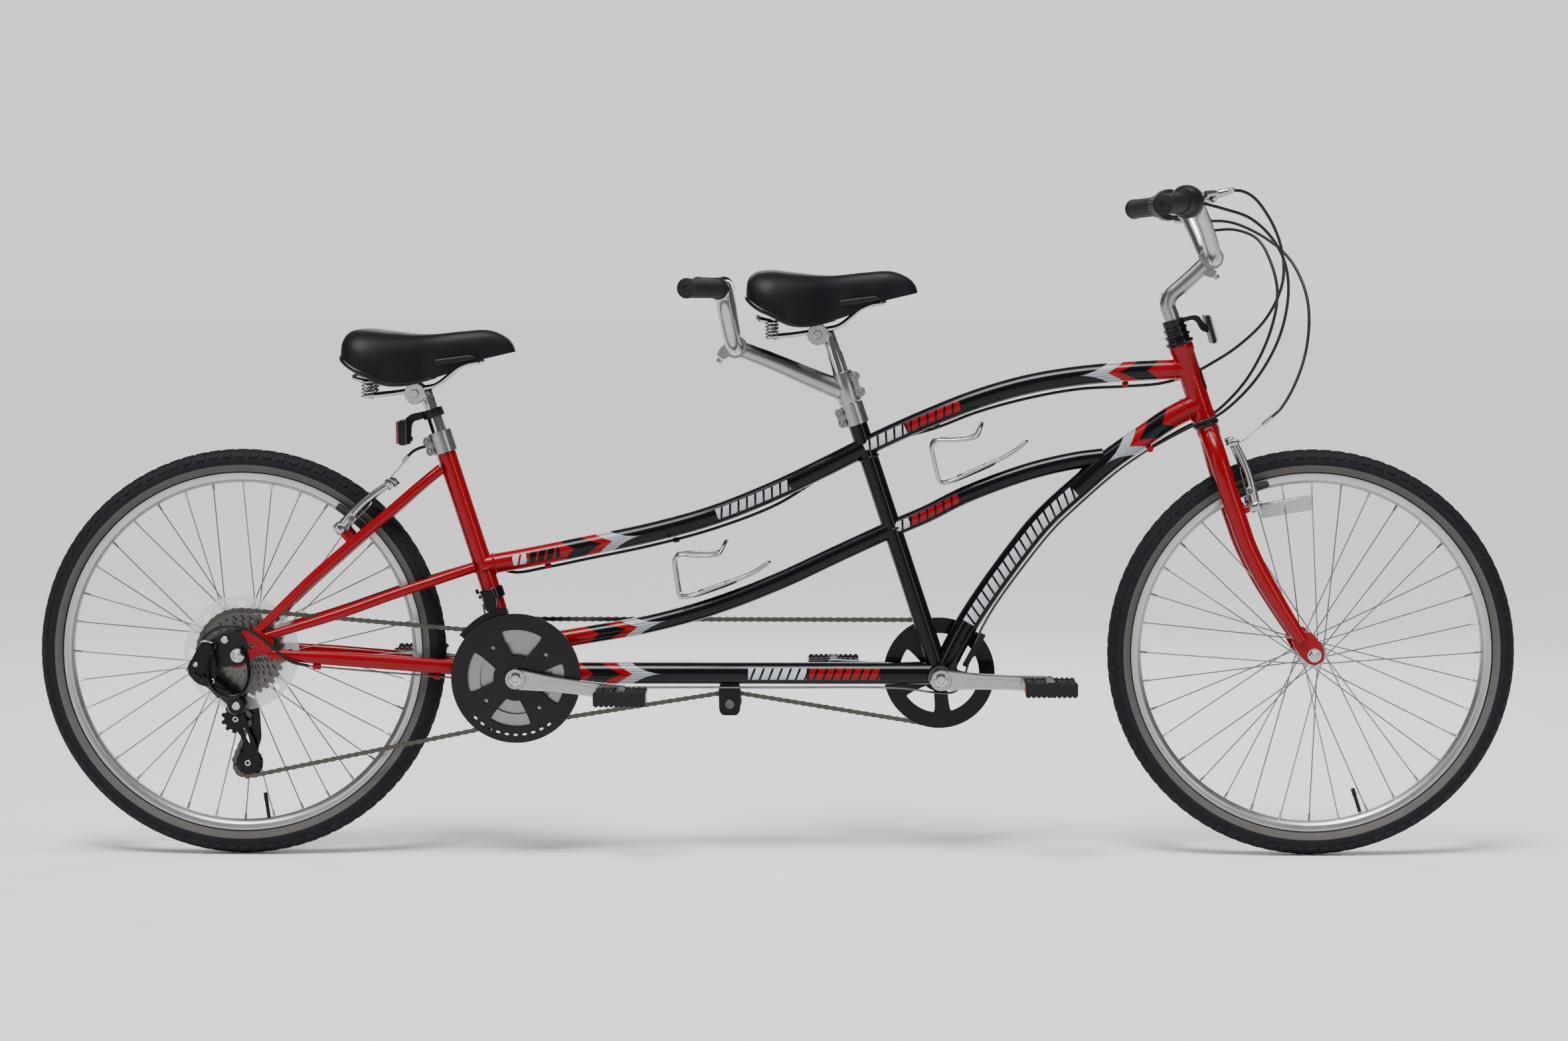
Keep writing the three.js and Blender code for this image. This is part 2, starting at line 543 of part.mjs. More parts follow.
function timingRing() {
  const windows = Array.from({ length: 5 }, (_, i) => sector(30, 64, 72 * i + 36, 24, 4));
  return plate(circle([0, 0], pitchRadius(teeth.timing) - chain.half - chain.gap, 36), line.timing - 1.5, line.timing + 1.5, windows);
}

function guard() {
  const windows = Array.from({ length: 4 }, (_, i) => sector(36, 77, 90 * i, 26, 5));
  return plate(circle([0, 0], 103, 40), -65, -62, [circle([0, 0], 16.5, 16), ...windows]);
}

// A platform pedal on its axle, beside the crank.
function pedal(side) {
  const body = plate([[-42, -9], [-36, -13], [36, -13], [42, -9], [42, 9], [36, 13], [-36, 13], [-42, 9]], 90, 172);
  const made = join(body, rod([0, crank.outer + gap, 0], [0, 95, 0], 6, 8));
  return side < 0 ? mirrored(made) : made;
}

function leftCrank() {
  const spindle = rod([0, -58.5, 0], [0, 60, 0], crank.spindle, 12);
  const boss = rod([0, 43, 0], [0, 60, 0], 30, 16);
  return join(crankArm(1).rotateY(Math.PI), spindle, boss, timingRing());
}

for (const [name, centre, angle] of [
  ["stoker", stokerAxle, crank.stokerAngle],
  ["captain", captainAxle, crank.captainAngle],
]) {
  const set = groupAt(centre, angle);
  part(name + "_crank_right", crankArm(-1), paint.silver, set);
  part(name + "_crank_left", leftCrank(), paint.silver, set);
  for (const [hand, side] of [["right", -1], ["left", 1]]) {
    const holder = groupAt([-side * crank.length, 0], -angle, set);
    part(name + "_pedal_" + hand, pedal(side), paint.black, holder);
  }
  if (name === "stoker") {
    part("stoker_chainrings", rings(), paint.silver, set);
    part("chain_guard", guard(), paint.black, set);
  }
}

// ---- chains: closed bands around their wheels ----
// Wheels are [centre, radius, turn], turn 1 for clockwise seen from the right-hand side, -1 for the other way.
function belt(wheels, offset) {
  const outline = [];
  const leave = wheels.map(([c, r, s], i) => {
    const [d, q, t] = wheels[(i + 1) % wheels.length];
    const reach = Math.hypot(d[0] - c[0], d[1] - c[1]);
    const u = [(d[0] - c[0]) / reach, (d[1] - c[1]) / reach];
    const k = (t * (q + t * offset) - s * (r + s * offset)) / reach;
    const w = Math.sqrt(1 - k * k);
    return [u[0] * k + u[1] * w, u[1] * k - u[0] * w];
  });
  wheels.forEach(([c, r, s], i) => {
    const before = leave[(i + wheels.length - 1) % wheels.length];
    const angleOf = (n) => Math.atan2(-s * n[1], -s * n[0]);
    const from = angleOf(before);
    let sweep = (angleOf(leave[i]) - from) * -s;
    sweep -= Math.floor(sweep / (2 * Math.PI)) * 2 * Math.PI;
    const steps = Math.max(1, Math.round(sweep / degrees(15)));
    for (let j = 0; j <= steps; j += 1) {
      const a = from - (s * sweep * j) / steps;
      outline.push([c[0] + (r + s * offset) * Math.cos(a), c[1] + (r + s * offset) * Math.sin(a)]);
    }
  });
  return outline;
}

function band(wheels, y) {
  return plate(belt(wheels, chain.half), y - chain.halfWidth, y + chain.halfWidth, [belt(wheels, -chain.half).reverse()]);
}

// The drive chain leans from the middle ring's plane to the largest sprocket's.
function driveChain() {
  const straight = band(
    [
      [stokerAxle, pitchRadius(teeth.middle), 1],
      [tension, pitchRadius(teeth.jockey), 1],
      [guide, pitchRadius(teeth.jockey), -1],
      [[-wheel.x, wheel.z], pitchRadius(teeth.sprockets[0]), 1],
    ],
    0,
  );
  const places = straight.attributes.position;
  for (let i = 0; i < places.count; i += 1) {
    const share = THREE.MathUtils.clamp((places.getX(i) + 780) / 295, 0, 1);
    places.setY(i, places.getY(i) + THREE.MathUtils.lerp(line.sprocket, line.middle, share));
  }
  return straight;
}
part("drive_chain", driveChain(), paint.steel);

const timingRadius = pitchRadius(teeth.timing);
part(
  "timing_chain",
  band(
    [
      [stokerAxle, timingRadius, 1],
      [captainAxle, timingRadius, 1],
      [idlerAxle, pitchRadius(teeth.idler), -1],
    ],
    line.timing,
  ),
  paint.steel,
);

// The idler's wheel and its bolt, which stands on the bracket under the boom.
const idler = groupAt(idlerAxle);
part("timing_idler", join(disc(pitchRadius(teeth.idler) - chain.half - chain.gap, 44, 52, 16), disc(5, 8 + gap, 45, 10)), paint.black, idler);

// ---- gear changers ----
function derailleurBody() {
  const upper = [[-932, 300], [-908, 345], [-895, 345], [-884, 300], [-890, 272], [-915, 280]];
  return join(
    plate(upper, -91, -75.3),
    rod([-902, -84, 292], [-858, -56, 247], 13.5, 8),
    rod([-855, -66, 243], [-855, -41, 243], 16, 12),
  );
}
part("derailleur_body", derailleurBody(), paint.black);

const cageOutline = [
  [-876, 232], [-856, 258], [-832, 253], [-824, 235], [-821, 188], [-828, 168], [-817, 154], [-821, 131], [-844, 123],
  [-868, 130], [-864, 156], [-852, 176], [-851, 200], [-875, 210],
];
function derailleurCage() {
  const bolt = ([x, z]) => rod([x, -41, z], [x, -25, z], 2.6, 8);
  return join(plate(cageOutline, -40.5, -38.7), plate(cageOutline, -27.3, -25.5), bolt(guide), bolt(tension));
}
part("derailleur_cage", derailleurCage(), paint.black);
for (const [name, centre] of [["guide_pulley", guide], ["tension_pulley", tension]]) {
  const pulley = ring(3.1, pitchRadius(teeth.jockey) - chain.half - chain.gap, line.sprocket - 3, line.sprocket + 3, 20);
  part(name, pulley, paint.black, groupAt(centre));
}

const shifterPivot = rearSeatAxis.at(-237);
function frontDerailleurClamp() {
  const at = (t) => rearSeatAxis.at(-237 + t);
  const [x, , z] = at(0);
  return cut(
    join(rod(at(-9), at(9), 18.5, 16), rod([x - 2, -14, z], [x - 2, -33, z + 2], 8, 8)),
    rod(at(-20), at(20), tubes.seat + 0.4, 16),
  );
}
part("front_derailleur_clamp", frontDerailleurClamp(), paint.black);

function frontDerailleurCage() {
  const wall = (low, high, inner, last = 5) => {
    const outline = [];
    for (let i = 0; i <= last; i += 1) outline.push([degrees(98 + 9 * i), 113]);
    for (let i = last; i >= 0; i -= 1) outline.push([degrees(98 + 9 * i), inner]);
    return plate(outline.map(([a, r]) => [stokerAxle[0] + r * Math.cos(a), stokerAxle[1] + r * Math.sin(a)]), low, high);
  };
  const [x, , z] = shifterPivot;
  return join(
    wall(-57.2, -55.6, 91),
    wall(-40, -38.4, 84),
    wall(-57, -39, 110.5, 2),
    rod([x - 2, -56, z + 2], [x - 2, -34, z + 2], 8, 8),
    plate([[x - 12, z + 8], [x + 8, z + 8], [x + 12, z - 24], [x - 8, z - 26]], -57, -42),
  );
}
part("front_derailleur_cage", frontDerailleurCage(), paint.black);

// ---- bottle cages: a bent wire on a plate ----
function bottleCage([x, z], slope) {
  const half = [
    [150, 7, 9], [120, 11, 2], [60, 13, 1], [12, 15, 1], [1, 20, 6], [3, 28, 30], [10, 33, 62], [22, 36, 68], [70, 37, 52],
    [82, 34, 50], [94, 22, 60], [100, 0, 66],
  ];
  const route = [...half, ...half.slice(0, -1).reverse().map(([a, y, h]) => [a, -y, h])];
  const wire = bent(route, 2.6, 4, 30);
  const base = block([20, -16, -5], [92, 16, 1]);
  return join(wire, base, rod([149, -8, 9], [149, 8, 9], 2.4, 5)).rotateY(-degrees(slope)).translate(x, 0, z);
}
part("front_bottle_cage", bottleCage([262, 591.5], 23.5), paint.silver);
part("rear_bottle_cage", bottleCage([-152, 409], 19.3), paint.silver);

// ---- control cables, whole along their routes ----
const cableRoutes = {
  front_brake_cable: [
    [706, 168, 1011], [745, 148, 1008], [785, 116, 987], [820, 80, 955], [840, 50, 915], [848, 25, 870],
    [842, 0, 810], [822, -25, 755], [798, -40, 716], [782, -47, 702], [764, -50, 688],
  ],
  rear_brake_cable: [
    [707, -170, 1058], [742, -150, 1046], [772, -118, 1010], [793, -80, 965], [799, -35, 912], [777, 8, 855],
    [735, 27, 812], [692, 28, 784], [655, 27, 764], [610, 20, 753], [555, 8, 749], [480, 6, 744.5], [400, 6, 730],
    [320, 6, 708], [255, 8, 683], [190, 21, 663], [130, 22, 634], [70, 19, 602], [0, 7, 560], [-100, 6, 521.5],
    [-200, 6, 494.5], [-300, 6, 473.5], [-365, 6, 460], [-420, 13, 451], [-450, 27, 461], [-468, 28, 490],
    [-490, 26, 540], [-512, 26, 600], [-530, 25, 638], [-547, 21, 652], [-566, 19, 651], [-582, 27, 644], [-596, 36, 633],
  ],
  rear_shift_cable: [
    [663, -189, 1036], [692, -171, 1029], [735, -150, 1015], [772, -122, 985], [797, -90, 945], [806, -60, 895],
    [795, -42, 830], [765, -33, 770], [728, -29, 727], [697, -28, 703], [663, -27, 689], [630, -24, 672],
    [599, -8, 653.5], [543, -7, 614], [485, -7, 563.5], [444, -7, 524], [397, -7, 466], [342, -7, 388], [313, -7, 330],
    [301, -7, 288], [286, -8, 262], [256, -9, 260], [200, -9, 267], [0, -9, 268], [-200, -9, 268], [-370, -9, 266],
    [-412, -9, 262.5], [-442, -14, 268], [-480, -27, 281], [-540, -36, 288], [-640, -46, 297], [-742, -58, 307],
    [-768, -75, 316], [-792, -85, 336], [-818, -91, 359], [-845, -95, 372], [-872, -96, 373], [-894, -95, 362],
    [-905, -93.8, 347],
  ],
  front_shift_cable: [
    [655, 185, 1017], [672, 178, 1004], [700, 166, 998], [740, 148, 999], [775, 122, 984], [795, 96, 945], [803, 72, 895],
    [788, 50, 830], [755, 38, 765], [718, 31, 722], [690, 29, 700], [655, 27, 684], [625, 20, 668], [599, 7, 653.5],
    [543, 7, 614], [485, 7, 563.5], [444, 7, 524], [397, 7, 466], [342, 7, 388], [313, 7, 330], [301, 7, 288],
    [286, 4, 262], [256, -2, 260], [200, -3, 267], [0, -3, 268], [-200, -3, 268], [-370, 0, 266], [-412, 4, 261.5],
    [-434, 6, 262], [-447, 8, 275], [-455, 8, 300], [-460, 8, 340], [-467, 8, 385], [-470, 8, 400],
  ],
};
for (const [name, route] of Object.entries(cableRoutes)) {
  part(name, bent(route, 2.2, 4, Math.round(route.length * 1.3)), paint.black);
}

export default group;
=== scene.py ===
import json
import math
import bpy
import bmesh
from mathutils import Matrix, Vector


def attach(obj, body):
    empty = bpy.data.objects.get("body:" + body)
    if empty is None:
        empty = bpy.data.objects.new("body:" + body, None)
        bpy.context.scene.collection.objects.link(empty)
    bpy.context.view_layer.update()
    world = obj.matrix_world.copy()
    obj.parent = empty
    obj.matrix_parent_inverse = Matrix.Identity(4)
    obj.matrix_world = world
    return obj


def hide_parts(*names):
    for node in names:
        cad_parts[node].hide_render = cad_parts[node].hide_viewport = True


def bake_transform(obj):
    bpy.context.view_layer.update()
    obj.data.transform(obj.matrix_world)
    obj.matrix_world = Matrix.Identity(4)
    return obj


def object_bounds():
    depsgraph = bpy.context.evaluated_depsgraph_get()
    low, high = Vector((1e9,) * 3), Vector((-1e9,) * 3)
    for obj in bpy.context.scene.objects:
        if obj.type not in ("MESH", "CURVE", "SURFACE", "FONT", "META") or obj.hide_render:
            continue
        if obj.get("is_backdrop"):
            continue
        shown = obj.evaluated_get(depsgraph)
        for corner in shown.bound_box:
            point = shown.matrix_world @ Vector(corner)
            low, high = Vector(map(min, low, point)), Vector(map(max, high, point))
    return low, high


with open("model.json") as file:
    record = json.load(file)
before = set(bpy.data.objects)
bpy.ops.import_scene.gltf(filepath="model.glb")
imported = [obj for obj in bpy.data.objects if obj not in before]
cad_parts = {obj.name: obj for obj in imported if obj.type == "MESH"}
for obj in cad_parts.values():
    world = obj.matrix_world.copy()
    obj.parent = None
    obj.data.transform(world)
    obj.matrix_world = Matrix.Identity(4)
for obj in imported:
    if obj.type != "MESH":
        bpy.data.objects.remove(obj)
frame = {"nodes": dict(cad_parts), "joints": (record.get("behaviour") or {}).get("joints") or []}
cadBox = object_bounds()
mm = 0.001
print("frame loaded with", len(frame["nodes"]), "nodes")

joints = {j["name"]: j for j in frame["joints"]}


def jointAt(name):
    return [v / mm for v in joints[name]["pos_m"]]


stokerAxle = jointAt("stoker_cranks_turn")
captainAxle = jointAt("captain_cranks_turn")
rearAxle = jointAt("rear_wheel_spin")
frontAxle = jointAt("front_wheel_spin")
guideAt = jointAt("guide_pulley_turn")
tensionAt = jointAt("tension_pulley_turn")
idlerAt = jointAt("idler_turn")
steerAxis = Vector(joints["steer"]["axis"])
headTop = Vector(jointAt("steer"))


# camera, floor and light
studio = {
    "eye": (0.0855, -6.6, 0.947), "aim": (0.012, 0, 0.535), "lens": 95.2, "floorSize": 60, "world": 0.2,
    "backdrop": 1.2
}


def addCamera():
    data = bpy.data.cameras.new("viewCamera")
    data.lens = studio["lens"]
    data.sensor_width = 36
    camera = bpy.data.objects.new("viewCamera", data)
    eye, aim = Vector(studio["eye"]), Vector(studio["aim"])
    camera.location = eye
    camera.rotation_euler = (aim - eye).to_track_quat("-Z", "Y").to_euler()
    bpy.context.scene.collection.objects.link(camera)
    bpy.context.scene.camera = camera


def addLight(name, place, size, power, aim=(0, 0, 0.5)):
    data = bpy.data.lights.new(name, "AREA")
    data.shape = "RECTANGLE"
    data.size, data.size_y = size
    data.energy = power
    lamp = bpy.data.objects.new(name, data)
    lamp.location = place
    lamp.rotation_euler = (Vector(aim) - Vector(place)).to_track_quat("-Z", "Y").to_euler()
    bpy.context.scene.collection.objects.link(lamp)


addCamera()
addLight("overhead", (0, -0.4, 3.4), (3.8, 0.9), 60)
addLight("nearLeft", (-2.9, -3.4, 1.6), (0.5, 1.9), 26)
addLight("nearRight", (2.9, -3.2, 1.6), (0.5, 1.9), 26)
addLight("farSide", (0.4, 3.4, 2.0), (3, 0.8), 40)
sky = bpy.data.objects.new("sky", bpy.data.lights.new("sky", "SUN"))
sky.data.energy, sky.data.angle = 4.2, math.radians(24)
sky.rotation_euler = Vector((0.15, 0.45, -1)).to_track_quat("-Z", "Y").to_euler()
bpy.context.scene.collection.objects.link(sky)


# finishes
class Wire:
    def __init__(self, finish, socket):
        self.finish, self.socket = finish, socket

    def calc(self, operation, first, second=0.0):
        return self.finish.node("Math", {"operation": operation}, {0: first, 1: second})

    def __add__(self, other):
        return self.calc("ADD", self, other)

    def __sub__(self, other):
        return self.calc("SUBTRACT", self, other)

    def __rsub__(self, other):
        return self.calc("SUBTRACT", other, self)

    def __mul__(self, other):
        return self.calc("MULTIPLY", self, other)

    def __gt__(self, other):
        return self.calc("GREATER_THAN", self, other)

    def __lt__(self, other):
        return self.calc("LESS_THAN", self, other)

    def __abs__(self):
        return self.calc("ABSOLUTE", self)

    def __mod__(self, other):
        return self.calc("PINGPONG", self, other)

    def __pow__(self, other):
        return self.calc("POWER", self, other)

    __radd__ = __add__
    __rmul__ = __mul__


class Finish:
    def __init__(self, name, color, rough, metal=0.0, **fixed):
        self.material = bpy.data.materials.new(name)
        self.material.use_nodes = True
        self.tree = self.material.node_tree
        self.shader = self.tree.nodes["Principled BSDF"]
        self.color, self.rough = color, rough
        self.shader.inputs["Base Color"].default_value = (*color, 1)
        self.shader.inputs["Roughness"].default_value = rough
        self.shader.inputs["Metallic"].default_value = metal
        for key, value in fixed.items():
            self.shader.inputs[key.replace("_", " ")].default_value = value

    def node(self, kind, settings=None, inputs=None, out=0):
        made = self.tree.nodes.new("ShaderNode" + kind)
        for key, value in (settings or {}).items():
            setattr(made, key, value)
        for key, value in (inputs or {}).items():
            if isinstance(value, Wire):
                self.tree.links.new(value.socket, made.inputs[key])
            else:
                made.inputs[key].default_value = value
        return Wire(self, made.outputs[out])

    def feed(self, key, wire):
        self.tree.links.new(wire.socket, self.shader.inputs[key])

    def place(self, scale=(1, 1, 1), centre=(0, 0, 0)):
        coords = self.node("TexCoord", out="Object")
        shifted = self.node("VectorMath", {"operation": "SUBTRACT"}, {0: coords, 1: centre})
        return self.node("VectorMath", {"operation": "MULTIPLY"}, {0: shifted, 1: scale})

    def noise(self, scale, detail=3.0, stretch=(1, 1, 1)):
        return self.node("TexNoise", None, {"Vector": self.place(stretch), "Scale": scale, "Detail": detail})

    def mix(self, mask, low, high):
        pick = lambda c: c if isinstance(c, Wire) else (*c, 1)
        return self.node("Mix", {"data_type": "RGBA"}, {0: mask, 6: pick(low), 7: pick(high)}, 2)

    def spread(self, wire, low, high):
        return wire * (high - low) + low

    def bump(self, height, distance, strength=1.0):
        self.feed(
            "Normal", self.node("Bump", None, {"Height": height, "Distance": distance, "Strength": strength})
        )


def shade(color, amount):
    return tuple(min(1, c * amount) for c in color)


def mottled(
    name, color, rough, metal=0.0, scale=60, vary=0.12, grain=900, depth=0.00004, stretch=(1, 1, 1), **fixed
):
    if not metal:
        fixed.setdefault("Specular_IOR_Level", 0.25)
    finish = Finish(name, color, rough, metal, **fixed)
    cloud = finish.noise(scale, 4)
    finish.feed("Base Color", finish.mix(cloud, shade(color, 1 - vary), shade(color, 1 + vary)))
    finish.feed("Roughness", finish.spread(finish.noise(scale * 2.3, 3), rough * 0.8, rough * 1.2))
    finish.bump(finish.noise(grain, 2, stretch), depth)
    return finish


paints = {
    "red": (0.2, 0.0012, 0.005), "black": (0.002, 0.002, 0.0036), "silver": (0.4, 0.42, 0.45),
    "grey": (0.13, 0.14, 0.16)
}
enamel = {
    "rough": 0.25, "Specular_IOR_Level": 0.1, "Coat_Weight": 0.45, "Coat_Roughness": 0.03, "Coat_IOR": 1.3
}


def enamelFinish(name, color):
    finish = Finish(name, color, **enamel)
    fleck = finish.noise(2600, 1)
    finish.feed("Base Color", finish.mix(fleck, shade(color, 0.86), shade(color, 1.12)))
    finish.bump(finish.noise(240, 2), 0.00003)
    return finish


redPaint = enamelFinish("redEnamel", paints["red"])
blackPaint = enamelFinish("blackEnamel", paints["black"])
silver = mottled("satinAlloy", (0.27, 0.272, 0.28), 0.3, 1, 40, 0.06, 500, 0.000002)
brightAlloy = mottled("polishedAlloy", (0.36, 0.362, 0.37), 0.2, 1, 30, 0.05, 400, 0.000001)
rimAlloy = mottled("rimAlloy", (0.42, 0.42, 0.425), 0.34, 1, 30, 0.06, 400, 0.00001, (1, 8, 1))
chrome = mottled("chromePlate", (0.42, 0.425, 0.44), 0.1, 1, 25, 0.04, 120, 0.000001)
spokeSteel = mottled("spokeSteel", (0.2, 0.2, 0.205), 0.3, 1, 60, 0.08, 500, 0.000005)
darkSteel = mottled("oiledSteel", (0.13, 0.12, 0.115), 0.34, 1, 180, 0.3, 900, 0.00001)
chainSteel = mottled("chainSteel", (0.085, 0.078, 0.07), 0.3, 1, 240, 0.25, 900, 0.00001)
blackPlastic = mottled("blackNylon", (0.0045, 0.0045, 0.006), 0.45, 0, 50, 0.2, 1400, 0.00005)
glossPlastic = mottled("glossNylon", (0.0035, 0.0035, 0.005), 0.26, 0, 50, 0.15, 500, 0.00002)
gripRubber = mottled("gripRubber", (0.0055, 0.0055, 0.0075), 0.6, 0, 80, 0.2, 1100, 0.00003)
cableSheath = mottled("cableSheath", (0.005, 0.004, 0.004), 0.35, 0, 90, 0.2, 900, 0.00003)
padRubber = mottled("brakeRubber", (0.018, 0.018, 0.02), 0.7, 0, 90, 0.2, 1000, 0.00008)
clearPlastic = mottled(
    "clearDisc", (0.62, 0.64, 0.66), 0.12, 0, 30, 0.04, 200, 0.00002, Alpha=0.42, Coat_Weight=0.5
)


def lensFinish(name, color, size=260.0):
    finish = Finish(name, color, 0.12, 0, Coat_Weight=1.0, Coat_Roughness=0.03)
    cells = finish.node(
        "TexVoronoi", {"feature": "F1"}, {"Vector": finish.place(), "Scale": size, "Randomness": 0.0}
    )
    finish.feed("Base Color", finish.mix(cells, shade(color, 0.55), shade(color, 1.3)))
    finish.bump(cells, 0.0008)
    return finish


clearLens = lensFinish("clearLens", (0.36, 0.37, 0.38))
redLens = lensFinish("redLens", (0.16, 0.002, 0.004))
amberLens = lensFinish("amberLens", (0.8, 0.26, 0.02))


def vinylFinish():
    base = (0.0042, 0.0042, 0.006)
    finish = Finish("saddleVinyl", base, 0.46, Specular_IOR_Level=0.14)
    crease = finish.node(
        "TexVoronoi", {"feature": "DISTANCE_TO_EDGE"}, {"Vector": finish.place(), "Scale": 620.0}
    )
    pores = finish.noise(1500, 2)
    finish.feed("Base Color", finish.mix(finish.noise(22, 4), shade(base, 0.75), shade(base, 1.35)))
    finish.feed("Roughness", finish.spread(finish.noise(45, 3), 0.38, 0.56))
    finish.bump(crease * 0.7 + pores * 0.3, 0.00022, 0.7)
    return finish


def tyreFinish(name, centre):
    base, wall = (0.006, 0.006, 0.0085), (0.085, 0.08, 0.076)
    finish = Finish(name, base, 0.78, Specular_IOR_Level=0.2)
    radius = finish.node("VectorMath", {"operation": "LENGTH"}, {0: finish.place((1, 0, 1), centre)}, "Value")
    band = (radius > 0.2885) * (radius < 0.2995)
    worn = finish.noise(70, 4)
    tread = finish.mix(worn, shade(base, 0.75), shade(base, 1.4))
    finish.feed("Base Color", finish.mix(band, tread, finish.mix(worn, shade(wall, 0.8), wall)))
    ribs = radius % 0.0012
    finish.bump(ribs * 300 + finish.noise(900, 2), 0.00012)
    return finish


saddleVinyl = vinylFinish()

# for each edge: its distance from the first notch, how far its arms fall back, how hollow they are
chevron = {
    "bandStart": (0, 0.020, 0.9), "bandEnd": (0.046, 0.034, 0.8), "silverStart": (0.064, 0.028, 0.8),
    "silverEnd": (0.112, 0.052, 0.5)
}


def tubePaint(name, tips, radius, marks):
    finish = Finish(name, paints["black"], **enamel)
    lines = finish.node("UVMap", {"uv_map": "along"})
    along = finish.node("SeparateXYZ", None, {0: lines})
    across = Wire(finish, along.socket.node.outputs[1])
    aside = abs(across)
    red = finish.mix(finish.noise(2600, 1), shade(paints["red"], 0.86), shade(paints["red"], 1.12))
    streak = finish.mix((across % 0.0021) * 440, paints["grey"], paints["silver"])
    color = finish.mix(finish.noise(2600, 1), shade(paints["black"], 0.8), shade(paints["black"], 1.3))
    for tip, way in tips:
        run = (along - tip) * way if way > 0 else (tip - along)
        share = aside * (1 / radius)
        past = {key: (run + share**hollow * fall) < start for key, (start, fall, hollow) in chevron.items()}
        color = finish.mix(past["silverEnd"], color, streak)
        color = finish.mix(past["silverStart"], color, red)
        color = finish.mix(past["bandEnd"], color, paints["black"])
        color = finish.mix(past["bandStart"], color, red)
    for first, last, tint in marks:  # plain slanted bars, no lettering
        bars = ((along + across * 0.4) % 0.0072) > 0.0019
        here = (along > first) * (along < last) * (aside < radius * 0.52) * bars
        color = finish.mix(here, color, paints[tint])
    finish.feed("Base Color", color)
    finish.bump(finish.noise(240, 2), 0.00003)
    return finish


print("finishes ready")


# shapes, all in millimetres: (corners, faces, where each corner lies along a tube)
def smoothPath(points, steps=6):
    points = [Vector(p) for p in points]
    if len(points) < 3:
        return points
    ends = [points[0] * 2 - points[1], *points, points[-1] * 2 - points[-2]]
    path = []
    for i in range(len(points) - 1):
        a, b, c, d = ends[i : i + 4]
        knots = [0.0]
        for p, q in ((a, b), (b, c), (c, d)):
            knots.append(knots[-1] + max((q - p).length, 1e-6) ** 0.5)
        for j in range(steps):
            t = knots[1] + (knots[2] - knots[1]) * j / steps
            blend = lambda p, q, m, n: p * (
                (knots[n] - t) / (knots[n] - knots[m])
            ) + q * ((t - knots[m]) / (knots[n] - knots[m]))
            ab, bc, cd = blend(a, b, 0, 1), blend(b, c, 1, 2), blend(c, d, 2, 3)
            path.append(blend(blend(ab, bc, 0, 2), blend(bc, cd, 1, 3), 1, 2))
    return path + [points[-1]]


def sweep(points, radius, sides=20, steps=6, flat=1.0):
    path = smoothPath(points, steps)
    count = len(path)
    reach = [0.0]
    for a, b in zip(path, path[1:]):
        reach.append(reach[-1] + (b - a).length)
    if not isinstance(radius, (list, tuple)):
        radius = [radius, radius]
    corners, where, faces = [], [], []
    side = None
    for i, p in enumerate(path):
        ahead = (path[min(i + 1, count - 1)] - path[max(i - 1, 0)]).normalized()
        if side is None:
            side = Vector((0, 1, 0)) if abs(ahead.y) < 0.9 else Vector((1, 0, 0))
        side = (side - ahead * side.dot(ahead)).normalized()
        up = side.cross(ahead)
        f = reach[i] / reach[-1] * (len(radius) - 1)
        k = min(int(f), len(radius) - 2)
        r = radius[k] + (radius[k + 1] - radius[k]) * (f - k)
        for j in range(sides):
            a = 2 * math.pi * j / sides
            corners.append(p + side * (r * flat * math.cos(a)) + up * (r * math.sin(a)))
            where.append((reach[i] * mm, r * math.sin(a) * mm))
    for i in range(count - 1):
        for j in range(sides):
            k = (j + 1) % sides
            faces.append((i * sides + j, i * sides + k, (i + 1) * sides + k, (i + 1) * sides + j))
    faces.append(tuple(range(sides)))
    faces.append(tuple(range((count - 1) * sides, count * sides)))
    return corners, faces, where


def lathe(profile, at=(0, 0, 0), axis=(0, 1, 0), count=48, closed=False):
    turn = Vector((0, 0, 1)).rotation_difference(Vector(axis).normalized())
    corners, faces, rings = [], [], []
    for r, h in profile:
        start = len(corners)
        if abs(r) < 1e-6:
            corners.append(turn @ Vector((0, 0, h)) + Vector(at))
            rings.append([start] * count)
        else:
            for j in range(count):
                a = 2 * math.pi * j / count
                corners.append(turn @ Vector((r * math.cos(a), r * math.sin(a), h)) + Vector(at))
            rings.append(list(range(start, start + count)))
    pairs = list(zip(rings, rings[1:])) + ([(rings[-1], rings[0])] if closed else [])
    for low, high in pairs:
        for j in range(count):
            k = (j + 1) % count
            face = tuple(dict.fromkeys((low[j], low[k], high[k], high[j])))
            if len(face) > 2:
                faces.append(face)
    if not closed:
        faces += [tuple(ring) for ring in (rings[0], rings[-1]) if len(set(ring)) > 2]
    return corners, faces, None


def prism(outline, low, high):
    n = len(outline)
    corners = [Vector((x, y, z)) for y in (low, high) for x, z in outline]
    faces = [tuple(range(n)), tuple(range(n, 2 * n))]
    faces += [(i, (i + 1) % n, n + (i + 1) % n, n + i) for i in range(n)]
    return corners, faces, None


def box(low, high):
    return prism(
        [(low[0], low[2]), (high[0], low[2]), (high[0], high[2]), (low[0], high[2])], low[1], high[1]
    )


